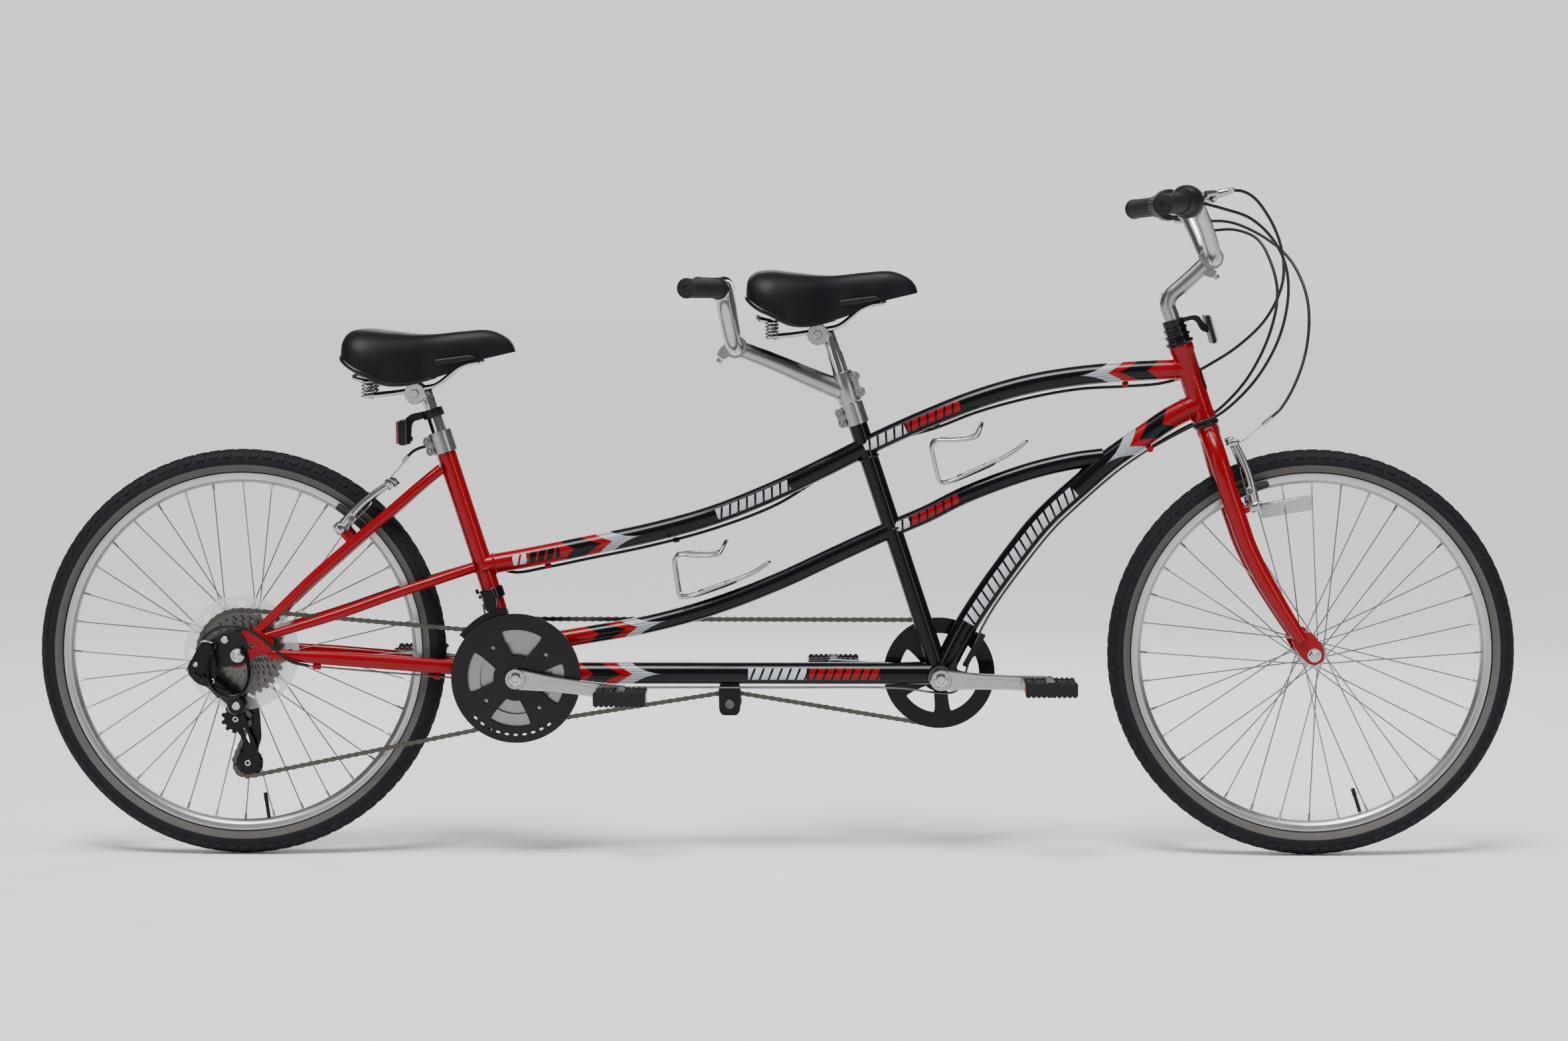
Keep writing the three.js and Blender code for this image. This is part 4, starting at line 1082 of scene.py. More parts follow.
for name, side, tilt in (("left", 1, -25), ("right", -1, 15)):
    axis, ahead, place = gripFrame(side, tilt)
    start = onGrip(captainGrip, 0, side)
    perch = [
        lathe(
            [(13, 10), (17.5, 10), (18.2, 11), (18.2, 25), (17.5, 26), (13, 26)], start, axis, 32, closed=True
        ),
        sweep(
            [place(18, 14), place(16, 26), place(13, 38), place(9, 50), place(7, 58)], [9, 9, 8, 6.5, 5.5],
            20, 5
        ),
        sweep([place(20, 34, -6), place(23, 38, -5), place(26, 41, 0)], [6, 6, 5], 16, 4),
        lathe([(4.4, 58), (4.8, 60), (4.8, 66), (3.2, 68), (0, 68)], place(7, 0), ahead, 16),
        boltHead(place(18, -4, -19), ahead.cross(axis), 3.2, 3),
    ]
    addPiece("leverPerch_" + name, perch, brightAlloy, "steering", [name + "_lever_perch"])
    lever = sweep(
        [
            place(26, 41), place(34, 46), place(44, 50), place(60, 54), place(76, 56), place(95, 54),
            place(108, 51)
        ],
        [6, 6.6, 5.6, 5, 5, 5, 5.6], 16, 5, 0.6
    )
    lever2 = lathe(
        [(0, -6), (4, -6), (4.4, -5), (4.4, 5), (4, 6), (0, 6)], place(26, 41), ahead.cross(axis), 18
    )
    addPiece(
        "brakeLever_" + name, [lever, lever2], brightAlloy, name + "_lever", [name + "_brake_lever"]
    )
    knob = [
        (13.3, 29), (22, 29), (25.3, 31), (26, 35), (26, 46), (24.5, 50), (20, 55), (18.6, 58), (18.4, 77),
        (13.3, 77)
    ]
    shifter = [lathe(knob, start, axis, 48, closed=True)]
    for i in range(24):
        a = 2 * math.pi * i / 24
        out = (
            Vector((0, 0, 1)).cross(axis).normalized() * math.cos(a) + axis.cross(
                Vector((0, 0, 1)).cross(axis)
            ).normalized() * math.sin(a)
        )
        foot = Vector(onGrip(captainGrip, 58, side)) + out * 18.4
        shifter.append(rod(foot, foot + axis * 17, 1.2, 8, 1.2, 0.4))
    addPiece(
        "twistShifter_" + name, shifter, blackPlastic, name + "_shifter",
        [name + "_twist_shifter"]
    )
    addPiece(
        "grip_" + name, [gripShape(captainGrip, side, 78.5, 170, 15.6, 12)], gripRubber, "steering",
        [name + "_grip"]
    )

reflector = [
    lathe(
        [(12.4, 31), (16.4, 31), (17, 32), (17, 41), (16.4, 42), (12.4, 42)], headTop, steerAxis, 32,
        closed=True
    ),
    plate(
        rounded(
            [
                (643, 850), (660, 855.5), (667, 852), (674, 838), (686, 834), (687, 842), (679, 850),
                (669, 864), (641, 858)
            ],
            0.2
        ),
        -6, 6
    ),
]
tilted = Matrix.Translation((689, 0, 841)) @ Matrix.Rotation(math.radians(-16), 4, "Y")
reflector.append(changed(box((-4.5, -37, -23), (1, 37, 23)), tilted))
addPiece(
    "reflector_frontHousing", reflector, blackPlastic, "steering", ["front_reflector"],
    bevel=1
)
addPiece(
    "reflector_frontLens", [changed(box((1.2, -35, -21), (4.5, 35, 21)), tilted)], clearLens, "steering",
    bevel=1
)
rearUnit = [
    lathe(
        [(12.7, 59), (16.6, 59), (17.2, 60), (17.2, 72), (16.6, 73), (12.7, 73)], rearSeatTop, rearSeatUp, 32,
        closed=True
    ),
    plate(
        rounded(
            [(-558, 710), (-582, 705), (-592, 697), (-590, 658), (-583, 656), (-581, 692), (-560, 698)], 0.15
        ),
        -6, 6
    ),
    box((-598, -37, 656), (-588, 37, 696)),
    boltHead((-583, 0, 665), (1, 0, 0), 4, 3),
]
addPiece(
    "reflector_rearHousing", rearUnit, blackPlastic, "rear_seat", ["rear_reflector"], bevel=1
)
addPiece(
    "reflector_rearLens", [box((-603.5, -35, 658), (-598.2, 35, 694))], redLens, "rear_seat",
    bevel=1.4
)
print("bars, stems and controls built")

# fork and brakes
bladeRoute = [
    (686, 6, 683), (691, 24, 664), (697.5, 37, 643), (705, 43, 618), (717, 45, 580), (731, 46, 540),
    (745, 47, 500), (764, 48, 460), (787, 50, 420), (811, 51.5, 381), (833, 52.5, 347)
]
frontDropout = [(815, 350), (845, 366), (868, 336), (868, 316), (852, 308), (838, 314), (822, 335)]
forkShapes = [
    lathe(
        [(0, -156), (15, -156), (17.6, -150), (18.4, -142), (17.2, -138.2), (0, -138)], headTop, steerAxis, 40
    )
]
for side in (1, -1):
    forkShapes.append(
        sweep(
            [(x, side * y, z) for x, y, z in bladeRoute], [15.5, 15, 15, 15, 14.6, 14, 13.5, 12, 10.5], 28, 6,
            0.78
        )
    )
    low = 50.3 if side > 0 else -55.3
    forkShapes.append(plate(rounded(frontDropout, 0.2), low, low + 5, [circle((852, 325), 5.6)]))
    forkShapes.append(rod((728, side * 40, 550), (749, side * 40, 557.4), 6.5))
addPiece("fork_blades", forkShapes, redPaint, "steering", ["fork"])
addPiece(
    "fork_steerer",
    [lathe([(11.5, -100), (12.6, -100), (12.6, 28), (11.5, 28)], headTop, steerAxis, 28, closed=True)],
    chrome, "steering"
)


def brakeShapes(boss, stud, side, axle):
    up = (-stud[1], stud[0]) if stud[0] > 0 else (stud[1], -stud[0])
    at = lambda t, h, y: Vector(
        (boss[0] + stud[0] * t + up[0] * h, side * y, boss[1] + stud[1] * t + up[1] * h)
    )
    out = Vector((stud[0], 0, stud[1]))
    middle = 31.3
    toRim = (at(middle, 26, 0) - Vector((axle, 0, 325))).normalized()
    rest = Vector((axle, 0, 325)) + toRim * 279
    across = Vector((-toRim.z, 0, toRim.x))
    arm = [
        lathe([(0, 0), (8.6, 0), (9.2, 1), (9.2, 13), (8.6, 14), (0, 14)], at(24.3, 0, 40), out, 24),
        sweep(
            [
                at(middle, -4, 39.5), at(middle + 4, 20, 40.5), at(middle + 7, 50, 39),
                at(middle + 6, 80, 36), at(middle + 3, 106, 33)
            ],
            [8, 7.4, 6.4, 5.6, 5.2], 18, 6, 0.8
        ),
        lathe([(0, -6), (6, -6), (6.6, -5), (6.6, 6), (5.6, 7), (0, 7)], at(middle, 106, 33), out, 20),
        rod(Vector((rest.x, side * 27, rest.z)), at(middle, 26, 46), 4.2, 16),
        lathe([(0, 0), (7, 0), (7, 3), (6, 4), (0, 4)], at(middle, 26, 45), (0, side, 0), 20),
    ]
    bolts = [
        boltHead(at(38.3, 0, 40), out, 6, 4), boltHead(at(middle + 7, 106, 33), out, 3.6, 4),
        lathe([(4.6, 0), (4.6, 4), (3.8, 5), (0, 5)], at(middle, 26, 48.5), (0, side, 0), 6),
        sweep([at(26, 4, 47), at(26, 30, 46), at(28, 60, 43), at(30, 66, 39)], 1.1, 8, 5),
    ]
    curve = [rest + across * s + toRim * (-s * s / 560) for s in (-34, -20, 0, 20, 32)]
    pad = sweep([Vector((p.x, side * 20, p.z)) for p in curve], [4.6, 5.8, 6, 6, 5.2], 16, 4, 1.1)
    return arm, bolts, pad


brakes = (
    ("front", (728, 550), (0.945, 0.327), 852), ("rear", (-672, 500), (-0.656, 0.755), -852),
)
for end, boss, stud, axle in brakes:
    for name, side in (("left", 1), ("right", -1)):
        arm, bolts, pad = brakeShapes(boss, stud, side, axle)
        body = end + "_brake_" + name
        addPiece(
            "brakeArm_" + end + name.title(), arm, brightAlloy, body, [end + "_brake_arm_" + name]
        )
        addPiece("brakeBolts_" + end + name.title(), bolts, darkSteel, body)
        addPiece("brakePad_" + end + name.title(), pad, padRubber, body)
print("fork and brakes built")

# wheels
wheel = {
    "segments": 160, "spokes": 36, "spokeRadius": 1.05,
    "knobRows": [(-17, 314.5, 5), (-8, 320.5, 5.5), (0, 322.2, 5.5), (8, 320.5, 5.5), (17, 314.5, 5)]
}


def tyreShapes(centre):
    half = [
        (286.6, 10.5), (288.5, 14), (293, 18.4), (299, 21.4), (306, 22.4), (312, 21), (317, 17.5),
        (320.5, 12), (322.4, 6), (322.9, 0)
    ]
    profile = half + [(r, -y) for r, y in reversed(half[:-1])] + [(287.5, 0)]
    shapes = [lathe(profile, centre, (0, 1, 0), wheel["segments"], closed=True)]
    count = 92
    for row, (y, r, half) in enumerate(wheel["knobRows"]):
        for i in range(count):
            a = 2 * math.pi * (i + (row % 2) / 2) / count
            out = Vector((math.sin(a), 0, math.cos(a)))
            ahead = Vector((math.cos(a), 0, -math.sin(a)))
            tilt = math.radians(-2.6 * y)
            lift = out * math.cos(tilt) + Vector((0, -math.sin(tilt), 0)) * 1.0
            wide = Vector((0, math.cos(tilt), 0)) + out * math.sin(tilt)
            base = Vector(centre) + out * (r - 2.5) + Vector((0, y, 0))
            corners = []
            for h, s in ((0, 1.12), (4.3 if abs(y) < 10 else 4.8, 1)):
                for u, v in ((-1, -1), (1, -1), (1, 1), (-1, 1)):
                    corners.append(
                        base + lift * h + ahead * (u * half * 1.25 * s + v * 1.6) + wide * (v * 3.4 * s)
                    )
            shapes.append(
                (
                    corners,
                    [(0, 1, 2, 3), (4, 5, 6, 7), (0, 1, 5, 4), (1, 2, 6, 5), (2, 3, 7, 6), (3, 0, 4, 7)], None
                )
            )
    return shapes


def wheelShapes(centre, flanges, hub):
    x, z = centre[0], centre[2]
    rim = [
        (286.4, -12), (287, -11), (284, -9.6), (284, 9.6), (287, 11), (286.4, 12), (278.6, 12.1), (276, 10.5),
        (271.4, 6.5), (270.4, 3), (270.4, -3), (271.4, -6.5), (276, -10.5), (278.6, -12.1)
    ]
    spokes, nipples = [], []
    for flange, (y, radius) in enumerate(flanges):
        for i in range(wheel["spokes"] // 2):
            a = math.radians(360 / wheel["spokes"] * (2 * i + flange))
            lead = 1 if i % 2 == 0 else -1
            b = a + math.radians(62 * lead)
            seat = Vector((x + radius * math.sin(b), y + lead * 2.2, z + radius * math.cos(b)))
            end = Vector((x + 270.5 * math.sin(a), -2 if flange else 2, z + 270.5 * math.cos(a)))
            spokes.append(sweep([seat, end], wheel["spokeRadius"], 8))
            spokes.append(lathe([(0, -1.3), (1.8, -1.3), (1.8, 0), (0, 0.4)], seat, (0, lead, 0), 8))
            toward = (seat - end).normalized()
            nipples.append(lathe([(0, -1), (2.1, -1), (2.1, 6), (1.6, 11), (0, 11)], end, toward, 8))
    return lathe(
        rim, centre, (0, 1, 0), wheel["segments"], closed=True
    ), spokes, nipples, lathe(hub, centre, (0, 1, 0), 40, closed=True)


frontHub = [
    (5.7, -49.8), (8.4, -49.8), (9, -48), (9.5, -40), (10.5, -37), (21.4, -35.6), (22, -34.6), (22, -32),
    (21, -31), (12, -28), (10.6, -22), (10.6, 22), (12, 28), (21, 31), (22, 32), (22, 34.6), (21.4, 35.6),
    (10.5, 37), (9.5, 40), (9, 48), (8.4, 49.8), (5.7, 49.8)
]
rearHub = [
    (5.7, -24.4), (16, -24), (26, -20), (27, -18), (27, -16), (26, -15), (14, -12), (12, -6), (12, 24),
    (14, 29), (24, 32.5), (25, 34), (25, 37), (24, 38), (12, 40), (10, 46), (9.4, 62), (8.6, 64.6),
    (5.7, 64.6)
]
for end, axle, flanges, hub, ends in (
    ("front", frontAxle, ((33.5, 18), (-33.5, 18)), frontHub, (55.6, 55.6)),
    ("rear", rearAxle, ((35.5, 21), (-18, 22)), rearHub, (71.3, 75.3)),
):
    body, centre = end + "_wheel", (axle[0], 0, axle[2])
    addPiece(
        "tyre_" + end, tyreShapes(centre), tyreFinish(end + "Tyre", [v * mm for v in centre]), body,
        [end + "_tyre"], smooth=30
    )
    rim, spokes, nipples, barrel = wheelShapes(centre, flanges, hub)
    addPiece("rim_" + end, [rim], rimAlloy, body, [end + "_wheel"])
    addPiece("spokes_" + end, spokes, spokeSteel, body)
    addPiece("nipples_" + end, nipples, brightAlloy, body)
    addPiece("hub_" + end, [barrel], brightAlloy, body)
    valveUp = Vector((0.14, 0, 0.99) if end == "rear" else (0.3, 0, -0.95))
    foot = Vector(centre) + Vector((valveUp.x, 0, -abs(valveUp.z))) * 270
    addPiece(
        "valve_" + end,
        [
            lathe(
                [(3, 0), (3, 24), (2.4, 25), (3.4, 26), (3.4, 38), (2.6, 40), (0, 40)], foot,
                Vector(centre) - foot, 14
            )
        ],
        blackPlastic, body
    )
    nuts = [sweep([(centre[0], -ends[1] + 1, centre[2]), (centre[0], ends[0] - 1, centre[2])], 4.8, 20)]
    for side, reach in ((1, ends[0]), (-1, ends[1])):
        at = (centre[0], side * (reach + 0.3), centre[2])
        nuts += [
            lathe([(0, 0), (11, 0), (11, 1.6), (0, 1.6)], at, (0, side, 0), 28),
            hexNut((at[0], at[1] + side * 1.6, at[2]), (0, side, 0), 8.6, 6, 4.6)
        ]
        nuts.append(
            lathe(
                [(5.2, -12), (9, -12), (9, -6.2), (5.2, -6.2)], (at[0], at[1] - side * 0.2, at[2]),
                (0, side, 0), 6, closed=True
            )
        )
    frameBody = "steering" if end == "front" else "frame"
    addPiece("axleNuts_" + end, nuts, chrome, frameBody, [end + "_axle"])
for end, centre, angle in (("front", frontAxle, 100),):
    middle = Vector((centre[0], 0, centre[2])) + Vector(
        (math.cos(math.radians(angle)), 0, math.sin(math.radians(angle)))
    ) * 236
    lens = turned(
        box((middle.x - 41, -7, middle.z - 12), (middle.x + 41, 7, middle.z + 12)), 90 - angle, middle
    )
    addPiece("wheelReflector_" + end, [lens], clearLens, end + "_wheel", bevel=3)

sprocketCounts = (34, 28, 24, 21, 18, 16, 14)
cogs = []
for i, count in enumerate(sprocketCounts):
    y = -33 - 4.9 * i
    root = pitchOf(count) - 9
    holes = [window(root * 0.62, root * 0.9, 60 * k, 18) for k in range(6)] if count > 18 else ()
    teeth = toothed(count, height=3.4 if i else 1.5)
    cogs.append(moved(plate(teeth, -1, 1, holes, 0.25), rearAxle[0], y, rearAxle[2]))
    cogs.append(
        lathe(
            [(6.2, -2.2), (root * 0.58 + 6, -2.2), (root * 0.58 + 6, 2.2), (6.2, 2.2)],
            (rearAxle[0], y - 2.3, rearAxle[2]), (0, 1, 0), 28, closed=True
        )
    )
lock = lathe(
    [(6.2, -65.2), (15, -65.2), (17, -64), (17, -62), (6.2, -62)], (rearAxle[0], 0, rearAxle[2]), (0, 1, 0),
    24, closed=True
)
addPiece("freewheel_cogs", cogs[:-1] + [lock], darkSteel, "cassette", ["cassette"])
guardHoles = [circle(polar(45 * k, 78), 6, 16) for k in range(8)]
spokeGuard = moved(
    plate(circle((0, 0), 92, 80), -27.6, -25.8, [circle((0, 0), 28, 30), *guardHoles], 0.3), rearAxle[0], 0,
    rearAxle[2]
)
addPiece("spokeProtector", [spokeGuard], clearPlastic, "rear_wheel")
print("wheels built")

# cranks, rings and pedals
crankSet = {"length": 170, "stoker": -7.5, "captain": -2.0}


def crankShapes(side):
    outline = [polar(86 + 188 * i / 14, 17) for i in range(15)] + [(60, -12.4), (110, -11.6)]
    outline += [
        (
            crankSet["length"] + 13 * math.cos(math.radians(-86 + 172 * i / 14)),
            13 * math.sin(math.radians(-86 + 172 * i / 14))
        )
        for i in range(15)
    ] + [(110, 11.6), (60, 12.4)]
    low, high = (-79.6, -68.4) if side < 0 else (68.4, 79.6)
    arm = [
        plate(outline, low, high, rim=2.4),
        lathe(
            [(10, 59), (16, 59.4), (17, 62), (17, 79.6), (15.6, 82), (11.5, 82), (11, 78), (0, 78)],
            (0, 0, 0), (0, side, 0), 40
        )
    ]
    arm.append(lathe([(9, 78), (13, 78), (13, 80.6), (12, 81), (0, 81)], (170, 0, 0), (0, side, 0), 30))
    arm.append(
        plate(
            rounded([(36, -5.5), (132, -5), (132, 5), (36, 5.5)], 0.3), low - 0.5 if side < 0 else high - 1,
            low + 1 if side < 0 else high + 0.5, rim=0.4
        )
    )
    arm.append(
        lathe(
            [(0, 79), (11.5, 79), (12, 79.4), (12, 80.2), (11.2, 80.6), (0, 80.6)], (140, 0, 0), (0, side, 0),
            30
        )
    )
    return arm


def pedalShapes(side):
    core = [
        rod((0, side * 80.4, 0), (0, side * 92, 0), 6, 20),
        lathe([(0, 91), (11, 91), (12, 93), (12, 169), (11, 171), (0, 171)], (0, 0, 0), (0, side, 0), 28),
        *[
            prism(
                [(-40, -8), (-37, -10.5), (37, -10.5), (40, -8), (40, 8), (37, 10.5), (-37, 10.5), (-40, 8)],
                y, y + 6
            )
            for y in ((93, 128, 163) if side > 0 else (-99, -134, -169))
        ],
    ]
    outline = [(-41, -9), (-38, -12.4)]
    for i in range(9):
        outline += [(-34 + i * 8, -12.4), (-32 + i * 8, -9.4), (-30 + i * 8, -12.4)]
    outline += [(38, -12.4), (41, -9)]
    outline += [(x, -z) for x, z in reversed(outline)]
    inner = [(-38.6, -8), (38.6, -8), (38.6, 8), (-38.6, 8)]
    near, far = ((90.6, 92.6), (168.4, 171.6)) if side > 0 else ((-92.6, -90.6), (-171.6, -168.4))
    core.append(plate(outline, *far, rim=0.6))
    cage = [plate(outline, *near, [inner], 0.3)]
    for x in (-27, -9, 9, 27):
        for z in (-1, 1):
            core.append(rod((x, side * 104, z * 9), (x, side * 104, z * 12.6), 1.8, 8))
            core.append(rod((x, side * 140, z * 9), (x, side * 140, z * 12.6), 1.8, 8))
    ends = (91, 171) if side > 0 else (-171, -91)
    for x in (-41, 39):
        cage.append(box((x, ends[0], -7), (x + 2, ends[1], 7)))
    lens = [
        box((x, 112 * side if side > 0 else -150, -5.4), (x + 1, 150 if side > 0 else -112, 5.4))
        for x in (-42.3, 41.3)
    ]
    return core, cage, lens


def timingRing(y):
    arms = [window(30, 66, 72 * i + 25, 26, 8, 0.6) for i in range(5)]
    return plate(toothed(42, height=-4.6), y - 1.5, y + 1.5, [circle((0, 0), 9, 20), *arms], 0.3)


for name, centre in (("stoker", stokerAxle), ("captain", captainAxle)):
    angle = crankSet[name]
    at = (centre[0], 0, centre[2])
    put = lambda shapes: [turned(moved(s, at[0], 0, at[2]), -angle, at) for s in flat(shapes)]
    body = name + "_cranks"
    right, left = crankShapes(-1), [turned(s, 180) for s in crankShapes(1)]
    spindle = lathe([(0, -58), (8, -58), (8, 59), (0, 59)], (0, 0, 0), (0, 1, 0), 24)
    spider = [lathe([(8, 43.5), (28, 43.5), (30, 45), (30, 50), (26, 58), (8, 60)], (0, 0, 0), (0, 1, 0), 40)]
    cups = [
        lathe(
            [(9.6, 33.6), (16, 33.6), (19, 34.4), (19, 37.4), (16, 38.4), (9.6, 38.4)],
            (centre[0], 0, centre[2]), (0, s, 0), 32, closed=True
        )
        for s in (1, -1)
    ]
    addPiece("bearingCups_" + name, cups, darkSteel, "frame")
    addPiece("crankRight_" + name, put(right), brightAlloy, body, [name + "_crank_right"])
    addPiece("crankLeft_" + name, put([left, spindle]), brightAlloy, body, [name + "_crank_left"])
    rims = [timingRing(chainSet["timingLine"]), spider]
    if name == "captain":
        faceHoles = [window(30, 64, 72 * i + 25, 25, 10, 0.6) for i in range(5)]
        rims.append(plate(circle((0, 0), 89.4, 96), 42.4, 44.2, [circle((0, 0), 9, 20), *faceHoles], 0.4))
    addPiece("timingRing_" + name, put(rims), blackPaint, body)
    caps = [
        lathe(
            [(0, 78.2), (11.2, 78.2), (11.2, 81), (9, 82.4), (6, 82.4), (5.4, 80.4), (0, 80.4)], (0, 0, 0),
            (0, s, 0), 32
        )
        for s in (1, -1)
    ]
    caps += [lathe([(0, 80), (4.2, 80), (4.2, 81.6), (0, 81.6)], (0, 0, 0), (0, s, 0), 6) for s in (1, -1)]
    addPiece("dustCaps_" + name, put(caps), chrome, body)
    for hand, side in (("right", -1), ("left", 1)):
        pedalAt = jointAt(name + "_pedal_" + hand + "_spin")
        core, cage, lens = pedalShapes(side)
        pedalPut = lambda shapes: [moved(s, pedalAt[0], 0, pedalAt[2]) for s in shapes]
        pedalBody = name + "_pedal_" + hand
        addPiece(
            "pedalBody_" + name + hand.title(), pedalPut(core), blackPlastic, pedalBody,
            [pedalBody], bevel=0.8
        )
        addPiece("pedalCage_" + name + hand.title(), pedalPut(cage), brightAlloy, pedalBody)
        addPiece("pedalLens_" + name + hand.title(), pedalPut(lens), amberLens, pedalBody)

at = (stokerAxle[0], 0, stokerAxle[2])
put = lambda shapes: [turned(moved(s, at[0], 0, at[2]), -crankSet["stoker"], at) for s in flat(shapes)]
rings = [
    plate(toothed(42), -56.2, -54, [circle((0, 0), 58, 40)], 0.3),
    plate(circle((0, 0), 62.6, 60), -48.6, -46.4, [circle((0, 0), 30, 30)], 0.3),
    plate(toothed(24), -41, -39, [circle((0, 0), 12, 24)], 0.3),
    lathe(
        [(9.2, -58.4), (24, -58.4), (26, -56), (26, -38.4), (9.2, -38.4)], (0, 0, 0), (0, 1, 0), 40,
        closed=True
    ),
]
for k in range(4):
    x, z = polar(45 + 90 * k, 60)
    rings.append(lathe([(0, -57.6), (5, -57.6), (5.4, -57), (5.4, -46), (0, -46)], (x, 0, z), (0, 1, 0), 20))
    rings.append(
        prism(
            [
                polar(45 + 90 * k - 16, 22), polar(45 + 90 * k - 5, 62), polar(45 + 90 * k + 5, 62),
                polar(45 + 90 * k + 16, 22)
            ],
            -58.2, -54.4
        )
    )
addPiece("chainrings", put(rings), silver, "stoker_cranks", ["stoker_chainrings"])
slots = [window(88.5, 91.5, 232 + 9 * k, 2, 2, 1.0) for k in range(10)]
dots = [circle(polar(45 + 90 * k, 60), 3.4, 14) for k in range(4)]
guardDisc = [
    plate(
        circle((0, 0), 103, 96), -65, -62,
        [circle((0, 0), 16.5, 32), *[window(36, 77, 90 * k, 26, 10) for k in range(4)], *slots, *dots], 0.8
    )
]
addPiece("chainGuard", put(guardDisc), glossPlastic, "stoker_cranks", ["chain_guard"])
print("cranks built")


# chains
def beltPath(wheels):
    leave = []
    for i, (c, r, s) in enumerate(wheels):
        d, q, t = wheels[(i + 1) % len(wheels)]
        reach = math.hypot(d[0] - c[0], d[1] - c[1])
        u = ((d[0] - c[0]) / reach, (d[1] - c[1]) / reach)
        k = (t * q - s * r) / reach
        w = math.sqrt(1 - k * k)
        leave.append((u[0] * k + u[1] * w, u[1] * k - u[0] * w))
    points = []
    for i, (c, r, s) in enumerate(wheels):
        angleOf = lambda n: math.atan2(-s * n[1], -s * n[0])
        start = angleOf(leave[i - 1])
        turn = ((angleOf(leave[i]) - start) * -s) % (2 * math.pi)
        steps = max(2, int(turn / math.radians(3)))
        points += [
            (
                c[0] + r * math.cos(start - s * turn * j / steps),
                c[1] + r * math.sin(start - s * turn * j / steps)
            )
            for j in range(steps + 1)
        ]
    return points


def walk(points, pitch):
    loop = points + [points[0]]
    total = sum(math.dist(a, b) for a, b in zip(loop, loop[1:]))
    count = 2 * round(total / pitch / 2)
    step, places, left, reach = total / count, [], 0.0, 0.0
    for a, b in zip(loop, loop[1:]):
        span = math.dist(a, b)
        while left < reach + span - 1e-9 and len(places) < count:
            f = (left - reach) / span if span else 0
            places.append((a[0] + (b[0] - a[0]) * f, a[1] + (b[1] - a[1]) * f))
            left += step
        reach += span
    return places


def linkShape(a, b, y, skew, gap, thick, high):
    length, angle = math.dist(a, b), math.atan2(b[1] - a[1], b[0] - a[0])
    outline = [
        (length + high * math.cos(math.radians(t)), high * math.sin(math.radians(t)))
        for t in range(-75, 76, 30)
    ] + [(length / 2, high * 0.68)]
    outline += [
        (high * math.cos(math.radians(t)), high * math.sin(math.radians(t))) for t in range(105, 256, 30)
    ] + [(length / 2, -high * 0.68)]
    spun = [
        (a[0] + x * math.cos(angle) - z * math.sin(angle), a[1] + x * math.sin(angle) + z * math.cos(angle))
        for x, z in outline
    ]
    shapes = []
    for side in (1, -1):
        low = y + (gap if side > 0 else -gap - thick)
        corners, faces, where = prism(spun, low, low + thick)
        shapes.append(([c + Vector((0, skew(c.x) - y, 0)) for c in corners], faces, where))
    return shapes


def chainPieces(points, skew):
    places = walk(points, chainSet["pitch"])
    made = []
    for i, a in enumerate(places):
        b = places[(i + 1) % len(places)]
        y = skew((a[0] + b[0]) / 2)
        outer = i % 2 == 0
        shapes = linkShape(a, b, y, skew, 2.3 if outer else 1.35, 0.85, 4.1)
        ya = skew(a[0])
        shapes.append(lathe([(3.8, -1.3), (3.8, 1.3)], (a[0], ya, a[1]), (0, 1, 0), 10))
        shapes.append(lathe([(1.8, -3.5), (1.8, 3.5)], (a[0], ya, a[1]), (0, 1, 0), 8))
        made.append((((a[0] + b[0]) / 2, (a[1] + b[1]) / 2), shapes))
    return made


driveWheels = [
    ((stokerAxle[0], stokerAxle[2]), pitchOf(34), 1), ((tensionAt[0], tensionAt[2]), pitchOf(11), 1),
    ((guideAt[0], guideAt[2]), pitchOf(11), -1), ((rearAxle[0], rearAxle[2]), pitchOf(34), 1),
]


def driveSkew(x):
    share = min(1, max(0, (x + 780) / 295))  # from the sprocket's line to the ring's, ahead of the wheel
    return chainSet["sprocketLine"] + (chainSet["ringLine"] - chainSet["sprocketLine"]) * share


groups = {"main": [], "lower": [], "lowerEnd": [], "pulleys": [], "rise": []}
for (x, z), shapes in chainPieces(beltPath(driveWheels), driveSkew):
    if z > 276 or x > -500:
        key = "main"
    elif z > 238 and x < -820:
        key = "rise"
    elif x < -800:
        key = "pulleys"
    else:
        key = "lower" if x > -640 else "lowerEnd"
    groups[key].append(shapes)
joined = {
    "lower": ("frame", "rear_derailleur", (-0.5, 0, 0.2), (-0.64, 0, 0.2)),
    "lowerEnd": ("rear_derailleur", "derailleur_cage", (-0.64, 0, 0.15), (-0.8, 0, 0.15)),
    "rise": ("frame", "rear_derailleur", (-0.86, 0, 0.276), (-0.86, 0, 0.246))
}
for key, shapes in groups.items():
    body = "derailleur_cage" if key == "pulleys" else "frame"
    addPiece(
        "driveChain_" + key, shapes, chainSteel, body, ["drive_chain"] if key == "main" else (),
        blend=joined.get(key)
    )
timingWheels = [
    ((stokerAxle[0], stokerAxle[2]), pitchOf(42), 1), ((captainAxle[0], captainAxle[2]), pitchOf(42), 1),
    ((idlerAt[0], idlerAt[2]), pitchOf(7), -1)
]
timing = [shapes for centre, shapes in chainPieces(beltPath(timingWheels), lambda x: chainSet["timingLine"])]
addPiece("timingChain", timing, chainSteel, "frame", ["timing_chain"])
